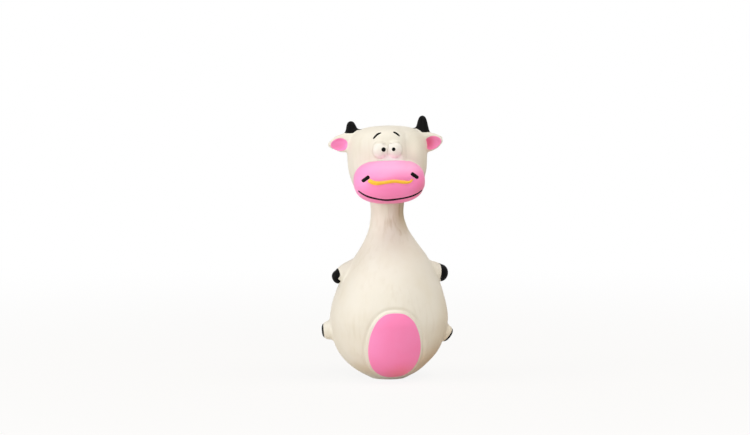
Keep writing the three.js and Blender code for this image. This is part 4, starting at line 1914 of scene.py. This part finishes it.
@dataclass
class Eyes:
    """The whites, the pupils and the brows."""

    form: ToyForm
    white_finish: Latex
    black_finish: Latex
    white: CoatSizes = CoatSizes(Projection.PARALLEL, reach=6, rings=18, height=0.14, rim=0.35, start=34)
    pupil: CoatSizes = CoatSizes(Projection.PARALLEL, reach=2, rings=10, height=0.3, rim=0.3, start=34)
    brow: StrokeSizes = StrokeSizes(0.88, 0.26, (0.7, 1, 1, 0.6), steps=44)
    white_share: float = 0.94
    middle_gap: float = 0.06
    pupil_radius: Pair = (1.15, 0.95)
    pupil_shift_shares: Pair = (0.37, -0.14)
    pupil_lift: float = 0.4
    brow_shares: Sequence = (
        ((-0.845, 1.305), (-0.328, 1.773), (0.188, 1.984)),
        ((-0.078, 2.03), (0.298, 1.859), (0.7375, 1.53)),
    )

    def seen(self, centre: Array) -> Place:
        """A place on the head that looks to the front from a point of the head's frame."""
        head = self.form.head
        return facing_front(head.place.world(np.array([centre[0], 0, centre[2]])), head.place.axes)

    def white_edge(self, side: Side, points: Array) -> Array:
        """Where one white ends: round its ball, under the lid and short of the other eye.

        Args:
            side: The side.
            points: Points of the skin.

        Returns:
            One distance for each point, above 0 beyond the white.
        """
        head = self.form.head
        centre = head.eye_centre(side)
        half = np.array([head.eye_half[0], head.eye_half[2]]) * self.white_share
        local = head.place.local(points)
        flat = (local[:, [0, 2]] - centre[[0, 2]]) / half
        ball = (np.hypot(*flat.T) - 1) * half.min()
        inner = self.middle_gap - (local[:, 0] - head.eye_shift) * side.value
        lid = local[:, 2] - centre[2] - head.eye_half[2] * head.lid_share
        return np.maximum(np.maximum(ball, inner), lid)

    def pupil_edge(self, side: Side, centre: Array, points: Array) -> Array:
        """Where one pupil ends, above 0 beyond it."""
        flat = self.form.head.place.local(points)[:, [0, 2]] - centre[[0, 2]]
        return np.hypot(*flat.T) - side.of(self.pupil_radius)

    def build(self) -> None:
        """Makes both eyes and both brows."""
        head, skin = self.form.head, self.form.distance
        for side in Side:
            centre = head.eye_centre(side)
            white = Coat(skin, partial(self.white_edge, side), self.seen(centre), self.white)
            name = f"eye_white_{side.word}"
            install(white.shape(), f"{name}_coat", self.white_finish, [name])
            middle = centre + [head.eye_half[0] * side.of(self.pupil_shift_shares), 0, self.pupil_lift]
            pupil = Coat(skin, partial(self.pupil_edge, side, middle), self.seen(middle), self.pupil)
            name = f"pupil_{side.word}"
            install(pupil.shape(), f"{name}_coat", self.black_finish, [name])
            path = np.array(side.of(self.brow_shares)) * [head.eye_half[0], head.eye_half[2]]
            brow = Stroke(skin, head.place, path + centre[[0, 2]], self.brow)
            name = f"brow_{side.word}"
            install(brow.shape(), f"{name}_stroke", self.black_finish, [name])


@dataclass
class Ears:
    """The pink coats in the scoops of the ears."""

    form: ToyForm
    finishes: dict[Side, Latex]
    brushed: CoatSizes = CoatSizes(Projection.PARALLEL, reach=8, rings=18, height=0.16, rim=0.4, start=6)
    rim_gap: float = 0.16
    skull_gap: float = 0.25

    def edge(self, side: Side, points: Array) -> Array:
        """Where one ear's pink ends: at the scoop's rim and short of the skull.

        Args:
            side: The side.
            points: Points of the skin.

        Returns:
            One distance for each point, above 0 beyond the pink.
        """
        head = self.form.head
        local = head.place.local(points)
        rim = head.ears[side].distance(local) + self.rim_gap
        return np.maximum(rim, self.skull_gap - head.skull.distance(local))

    def build(self) -> None:
        """Makes both coats."""
        head = self.form.head
        for side in Side:
            ear = head.ears[side].place
            middle = ear.world(head.cups[side].centre * np.array([1, 0, 1]))
            axes = ear.axes @ head.place.axes
            across = np.cross(-axes[1], axes[2])
            place = Place(head.place.world(middle), np.stack([axes[2], across, -axes[1]]))
            coat = Coat(self.form.distance, partial(self.edge, side), place, self.brushed)
            name = f"ear_paint_{side.word}"
            install(coat.shape(), f"ear_coat_{side.word}", self.finishes[side], [name])


@dataclass
class Horns:
    """The black coats of the horns, each with a brushed tail on the skull."""

    form: ToyForm
    finish: Latex
    brushed: CoatSizes = CoatSizes(Projection.RADIAL, reach=2.5, rings=22, height=0.15, rim=0.35)
    middle_height: float = 2.2
    tail_from: Sequence = ((-17.4, 0.0, 126.6), (17.4, 0.0, 126.6))
    tail_to: Sequence = ((-12.4, -1.5, 128.1), (12.8, -1.5, 128.1))
    tail_radius: Pair = (2.4, 0.3)
    paint_bottom: Pair = (125.9, 125.3)
    skull_gap: float = 0.5
    ear_gap: float = 0.3
    softness: float = 0.4

    def edge(self, side: Side, points: Array) -> Array:
        """Where one horn's black ends: at its tail, at the skull and short of the ear.

        Args:
            side: The side.
            points: Points of the skin.

        Returns:
            One distance for each point, above 0 beyond the black.
        """
        head = self.form.head
        start = np.array(side.of(self.tail_from))
        span = np.array(side.of(self.tail_to)) - start
        local = head.place.local(points)
        share = np.clip((local - start) @ span / (span @ span), 0, 1)
        radius = self.tail_radius[0] + (self.tail_radius[1] - self.tail_radius[0]) * share
        tail = np.linalg.norm(local - start - share[:, None] * span, axis=1) - radius
        black = smooth_min(tail, self.skull_gap - head.skull.distance(local), self.softness)
        black = smooth_max(black, side.of(self.paint_bottom) - local[:, 2], self.softness)
        return np.maximum(black, self.ear_gap - head.ears[side].distance(local))

    def build(self) -> None:
        """Makes both coats."""
        head = self.form.head
        for side in Side:
            horn = head.horns[side].place
            origin = head.place.world(horn.up(self.middle_height))
            place = Place(origin, horn.axes @ head.place.axes)
            coat = Coat(self.form.distance, partial(self.edge, side), place, self.brushed)
            name = f"horn_paint_{side.word}"
            install(coat.shape(), f"horn_coat_{side.word}", self.finish, [name])


@dataclass
class Hooves:
    """The black coats on the ends of the legs."""

    form: ToyForm
    finish: Latex
    brushed: CoatSizes = CoatSizes(Projection.RADIAL, reach=2.4, rings=18, height=0.15, rim=0.35)
    middle_sunk: float = 0.6
    notch_width: float = 3.0
    notch_depth: float = 1.4
    seat_gap: float = 0.8

    def edge(self, shape: LegShape, place: Place, points: Array) -> Array:
        """Where one hoof's black ends, also at the body.

        Args:
            shape: The leg's sizes.
            place: Where the leg stands.
            points: Points of the skin.

        Returns:
            One distance for each point, above 0 beyond the black.
        """
        black = shape.hoof_edge(place.local(points), self.notch_width, self.notch_depth)
        return np.maximum(black, self.seat_gap - self.form.body.plain(points))

    def build(self) -> None:
        """Makes all four coats."""
        body = self.form.body
        words = ("fore", "fore", "hind", "hind")
        for word, shape, leg in zip(words, body.fore_legs + body.hind_legs, body.legs):
            middle = leg.place.up(shape.length - shape.hoof_depth - self.middle_sunk)
            edge = partial(self.edge, shape, leg.place)
            coat = Coat(self.form.distance, edge, Place(middle, leg.place.axes), self.brushed)
            side = shape.side.word
            node = f"{word}_hoof_paint_{side}"
            install(coat.shape(), f"{word}_hoof_coat_{side}", self.finish, [node])


@dataclass
class Squeaker:
    """The plug in the foot, with the reed and the two bars that hold it."""

    plug_finish: Plastic
    reed_finish: Plastic
    sides: int = 96
    hole_radius: float = 0.8
    hole_offset: float = -0.9
    hole_core: float = 0.01
    hole_bottom: float = -1.0
    hole_top: float = 3.0
    corner_round: float = 0.3
    crease_angle: float = 40.0
    corners: Sequence = (
        (0.05, 0.5), (6.5, 0.5), (6.5, 1.7), (5.0, 1.7), (5.0, 4.3), (6.1, 4.3), (4.6, 5.6),
        (4.6, 16.6), (3.2, 16.6), (3.2, 2.0), (0.05, 2.0),
    )

    def build_plug(self) -> None:
        """Makes the plug and bores its sound hole."""
        angles = np.linspace(0, 2 * math.pi, self.sides, endpoint=False)
        plug = install(
            turned_shape(rounded(self.corners, self.corner_round), angles), "squeaker_plug_moulding",
            self.plug_finish, ["squeaker_plug"],
        )
        hole = turned_shape(np.array([
            (self.hole_core, self.hole_bottom), (self.hole_radius, self.hole_bottom),
            (self.hole_radius, self.hole_top), (self.hole_core, self.hole_top),
        ]), angles[::2])
        hole.points[:, 1] += self.hole_offset
        cutter = hole.made("sound_hole_cutter", dressed(self.plug_finish))
        cut = plug.modifiers.new("sound_hole", "BOOLEAN")
        cut.object = cutter
        cut.operation = "DIFFERENCE"
        cut.solver = "EXACT"
        bpy.context.view_layer.update()
        found = plug.evaluated_get(bpy.context.evaluated_depsgraph_get())
        plug.data = bpy.data.meshes.new_from_object(found)
        plug.modifiers.clear()
        plug.data.set_sharp_from_angle(angle=math.radians(self.crease_angle))
        bpy.data.objects.remove(cutter)

    def build(self) -> None:
        """Makes the plug, and dresses the reed and its bars."""
        self.build_plug()
        finishes = {
            "reed_seat": self.plug_finish,
            "reed_clamp": self.plug_finish,
            "squeaker_reed": self.reed_finish,
        }
        for name, finish in finishes.items():
            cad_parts[name].material_slots[0].material = dressed(finish)
            log.info("%s: the solid itself, dressed as %s", name, finish.name)


# Studio


@dataclass(frozen=True)
class Lamp:
    """A square soft light that looks at a point."""

    name: str
    place: Point
    power: float
    colour: Tint = (1.0, 1.0, 1.0)
    size: float = 0.7
    target: Point = (0, 0, 0.07)

    def build(self) -> None:
        """Makes the light."""
        data = bpy.data.lights.new(self.name, "AREA")
        data.size = self.size
        data.energy = self.power
        data.color = self.colour
        lamp = bpy.data.objects.new(self.name, data)
        lamp.location = self.place
        aim = Vector(self.target) - Vector(self.place)
        lamp.rotation_euler = aim.to_track_quat("-Z", "Y").to_euler()
        bpy.context.scene.collection.objects.link(lamp)


@dataclass
class Studio:
    """White ground, soft light and the camera."""

    lamps: tuple[Lamp, ...]
    azimuth: float = -5.2
    elevation: float = 3.6
    distance: float = 1.066
    lens: float = 100.0
    aim_height: float = 0.0822
    aim_side: float = -0.0068
    fill_colour: Tint = (1.0, 0.74, 0.46)
    fill_strength: float = 0.17
    floor_size: float = 6.0
    floor_colour: Tint = (0.77, 0.72, 0.64)
    floor_white: float = 0.88
    floor_fade: float = 700.0

    def seen_white(self, graph: Graph) -> Value:
        """Where the white ground is seen, and where it only lights the toy.

        Args:
            graph: The nodes of the ground or of the air.

        Returns:
            1 for what the camera sees, in gloss and through glass too, and 0 for other light.
        """
        rays = graph.node("ShaderNodeLightPath").outputs
        seen = Value(graph, rays["Is Camera Ray"])
        for name in ("Is Glossy Ray", "Is Transmission Ray"):
            seen = graph.sum("MAXIMUM", seen, Value(graph, rays[name]))
        return seen

    def build_world(self) -> None:
        """Soft light from all round, seen as white."""
        world = bpy.data.worlds.new("studio_air")
        bpy.context.scene.world = world
        graph = Graph(world)
        sockets = {"Color": (*self.fill_colour, 1), "Strength": self.fill_strength}
        fill = graph.node("ShaderNodeBackground", None, sockets)
        white = graph.node("ShaderNodeBackground", None, {"Color": (1, 1, 1, 1), "Strength": 1.0})
        sockets = {0: self.seen_white(graph), 1: fill.outputs[0], 2: white.outputs[0]}
        mixed = graph.node("ShaderNodeMixShader", None, sockets)
        graph.node("ShaderNodeOutputWorld", None, {"Surface": mixed.outputs[0]})

    def build_floor(self) -> None:
        """A pale floor that keeps a faint shadow."""
        graph = Graph(bpy.data.materials.new("pale_floor"))
        ground = graph.node("ShaderNodeBsdfDiffuse", None, {"Color": (*self.floor_colour, 1)})
        white = graph.node("ShaderNodeEmission", None, {"Color": (1, 1, 1, 1), "Strength": 1.0})
        near = graph.near((0, 0, 0), (self.floor_fade,) * 3)
        share = self.seen_white(graph) * (1 - near * (1 - self.floor_white))
        mixed = graph.node("ShaderNodeMixShader", None, {0: share, 1: ground.outputs[0], 2: white.outputs[0]})
        graph.node("ShaderNodeOutputMaterial", None, {"Surface": mixed.outputs[0]})
        half = self.floor_size / 2 / METRES
        corners = np.array([[-half, -half, 0], [half, -half, 0], [half, half, 0], [-half, half, 0]])
        floor = Shape(corners, [[0, 1, 2, 3]]).made("studio_floor", graph.owner)

    def build_camera(self) -> None:
        """The camera at the photograph's angle."""
        turn, lift = math.radians(self.azimuth), math.radians(self.elevation)
        level = math.cos(lift)
        back = Vector((math.sin(turn) * level, -math.cos(turn) * level, math.sin(lift)))
        right = Vector((math.cos(turn), math.sin(turn), 0))
        data = bpy.data.cameras.new("studio_camera")
        data.lens = self.lens
        data.clip_start = 0.05
        camera = bpy.data.objects.new("studio_camera", data)
        camera.location = Vector((0, 0, self.aim_height)) + right * self.aim_side + back * self.distance
        camera.rotation_euler = (-back).to_track_quat("-Z", "Y").to_euler()
        bpy.context.scene.collection.objects.link(camera)
        bpy.context.scene.camera = camera

    def build(self) -> None:
        """Makes the whole studio."""
        self.build_camera()
        self.build_world()
        self.build_floor()
        for lamp in self.lamps:
            lamp.build()
        bpy.context.scene.view_settings.view_transform = "Standard"


# Finishes and lamps of this toy

CREAM = Latex(
    "cream_cast_latex", (232, 229, 220), (226, 220, 205), 0.55, 0.55,
    # The ripple's tan streaks on the neck are painted shade of their furrows; their relief is a real bump
    ripple=Ripple(1.6, centre=(5, -8, 85), reach=(15, 16, 18), colour=(178, 160, 126)),
    painted_light_and_spray=(
        # Painted shade: the low right of the body darkened to tan
        Spot((24, -9, 6), (24, 26, 22), (192, 161, 120), 0.95),
        # Painted shade: the right flank darkened
        Spot((30, -8, 24), (18, 24, 26), (214, 198, 170), 0.5),
        # Painted shade: the right of the neck, under the head, darkened to tan
        Spot((8, -5, 85), (10, 14, 16), (188, 172, 134), 0.8),
        # Painted shade: the middle of the neck, under the muzzle, darkened
        Spot((-3, -9, 88), (9, 6, 9), (220, 226, 208), 0.7),
        # Painted shade: the low right side of the head darkened
        Spot((20, -12, 104), (8, 18, 14), (212, 196, 170), 0.6),
        # Painted light: the head's right side, beside the ridge, made paler
        Spot((12.5, -18, 118.5), (7, 12, 9), (255, 252, 240), 1.0),
        # Painted shade: the bottom left of the body darkened
        Spot((-17, -14, 4), (16, 18, 9), (216, 200, 170), 0.75),
        # Painted light: the crease under the eyes, above the muzzle, lightened
        Spot((0, -22, 113.3), (10, 8, 3.4), (255, 250, 255), 1.0),
        # Painted shade: the root of the right ear darkened to a red brown
        Spot((20.5, -5, 117.5), (2.5, 5, 3.5), (206, 152, 140), 0.6),
    ),
)
MUZZLE_PINK = Latex(
    "muzzle_brushed_latex", (255, 144, 204), (253, 130, 190), 0.6, 0.46,
    painted_light_and_spray=(
        # Painted light: the top of the muzzle made paler
        Spot((-1, -25, 110), (29, 18, 12), (250, 174, 218), 0.95),
        # Painted light: the muzzle's left side made paler
        Spot((-19, -22, 101), (9, 18, 14), (250, 170, 230), 0.6),
        # Painted shade: the muzzle's lower right darkened
        Spot((18, -20, 96), (12, 16, 11), (236, 112, 148), 0.75),
        # Painted shade: the dip above the nose ring darkened
        Spot((4, -30, 104), (11, 9, 4), (240, 126, 182), 0.6),
        # Painted light: the muzzle's upper right made paler
        Spot((12, -24, 110.5), (9, 12, 6), (250, 188, 228), 0.6),
    ),
)
BELLY_PINK = Latex(
    "belly_brushed_latex", (255, 144, 202), (255, 132, 190), 0.6, 0.5,
    painted_light_and_spray=(
        # Painted light: the patch's left side made paler
        Spot((-12, -26, 22), (10, 12, 18), (253, 156, 216), 0.6),
        # Painted bounce light from the floor: the bottom of the patch made warmer and redder
        Spot((6, -20, 1), (18, 18, 11), (255, 138, 156), 0.8),
    ),
)
LEFT_EAR_PINK = Latex(
    "left_ear_brushed_latex", (255, 152, 214), (251, 138, 200), 0.6, 0.5,
    painted_light_and_spray=(
        # Painted shade: darker pink in the scoop
        Spot((-26, -3, 118.5), (7, 6, 3.2), (240, 118, 168), 0.6),
        # Painted shade: darker pink under the scoop's upper rim
        Spot((-27, -3, 122.6), (6, 6, 2.0), (240, 112, 166), 0.6),
    ),
)
RIGHT_EAR_PINK = Latex(
    "right_ear_brushed_latex", (255, 152, 206), (252, 136, 190), 0.6, 0.5,
    # Painted shade: deep red at the root of the ear's scoop
    painted_light_and_spray=(Spot((20.4, -2, 120.5), (4.0, 9, 6.5), (218, 72, 112), 0.8),),
)
EYE_WHITE = Latex(
    "eye_brushed_latex", (239, 236, 231), (235, 232, 226), 0.5, 0.42,
    painted_light_and_spray=(Spot((-1.5, -22, 113.4), (6, 9, 3.0), (252, 228, 236), 0.7),),
)
BLACK = Latex("black_brushed_latex", (7, 7, 7), (11, 10, 10), 0.5, 0.5, relief=0.1, gloss=0.06)
YELLOW = Latex("yellow_brushed_latex", (255, 206, 62), (250, 180, 56), 0.7, 0.42)
PLUG_PLASTIC = Plastic("milky_plastic", (236, 238, 236), 0.34, 0.12)
REED_PLASTIC = Plastic("reed_film_plastic", (216, 220, 222), 0.26, 0.3)

STUDIO_LAMPS = (
    Lamp("side_light", (-1.24, -0.33, 0.25), 9.0),
    Lamp("high_left_light", (-0.53, -0.14, 1.25), 3.7),
    Lamp("front_light", (0.05, -1.2, 0.5), 5.85, (0.96, 1.0, 1.0)),
    Lamp("high_right_light", (0.48, -0.27, 1.25), 7.7, (1.0, 0.98, 0.95)),
)


def main() -> None:
    """Builds the studio and the toy, in order."""
    logging.basicConfig(level=logging.INFO, format="%(message)s")
    Studio(STUDIO_LAMPS).build()
    form = ToyForm()
    assemblies = (
        LatexSkin(form, CREAM),
        BellyPatch(form, BELLY_PINK),
        Muzzle(form, MUZZLE_PINK, BLACK, YELLOW),
        Eyes(form, EYE_WHITE, BLACK),
        Ears(form, {Side.LEFT: LEFT_EAR_PINK, Side.RIGHT: RIGHT_EAR_PINK}),
        Horns(form, BLACK),
        Hooves(form, BLACK),
        Squeaker(PLUG_PLASTIC, REED_PLASTIC),
    )
    for assembly in assemblies:
        assembly.build()
        log.info("%s done", type(assembly).__name__)


if __name__ == "__main__":
    main()
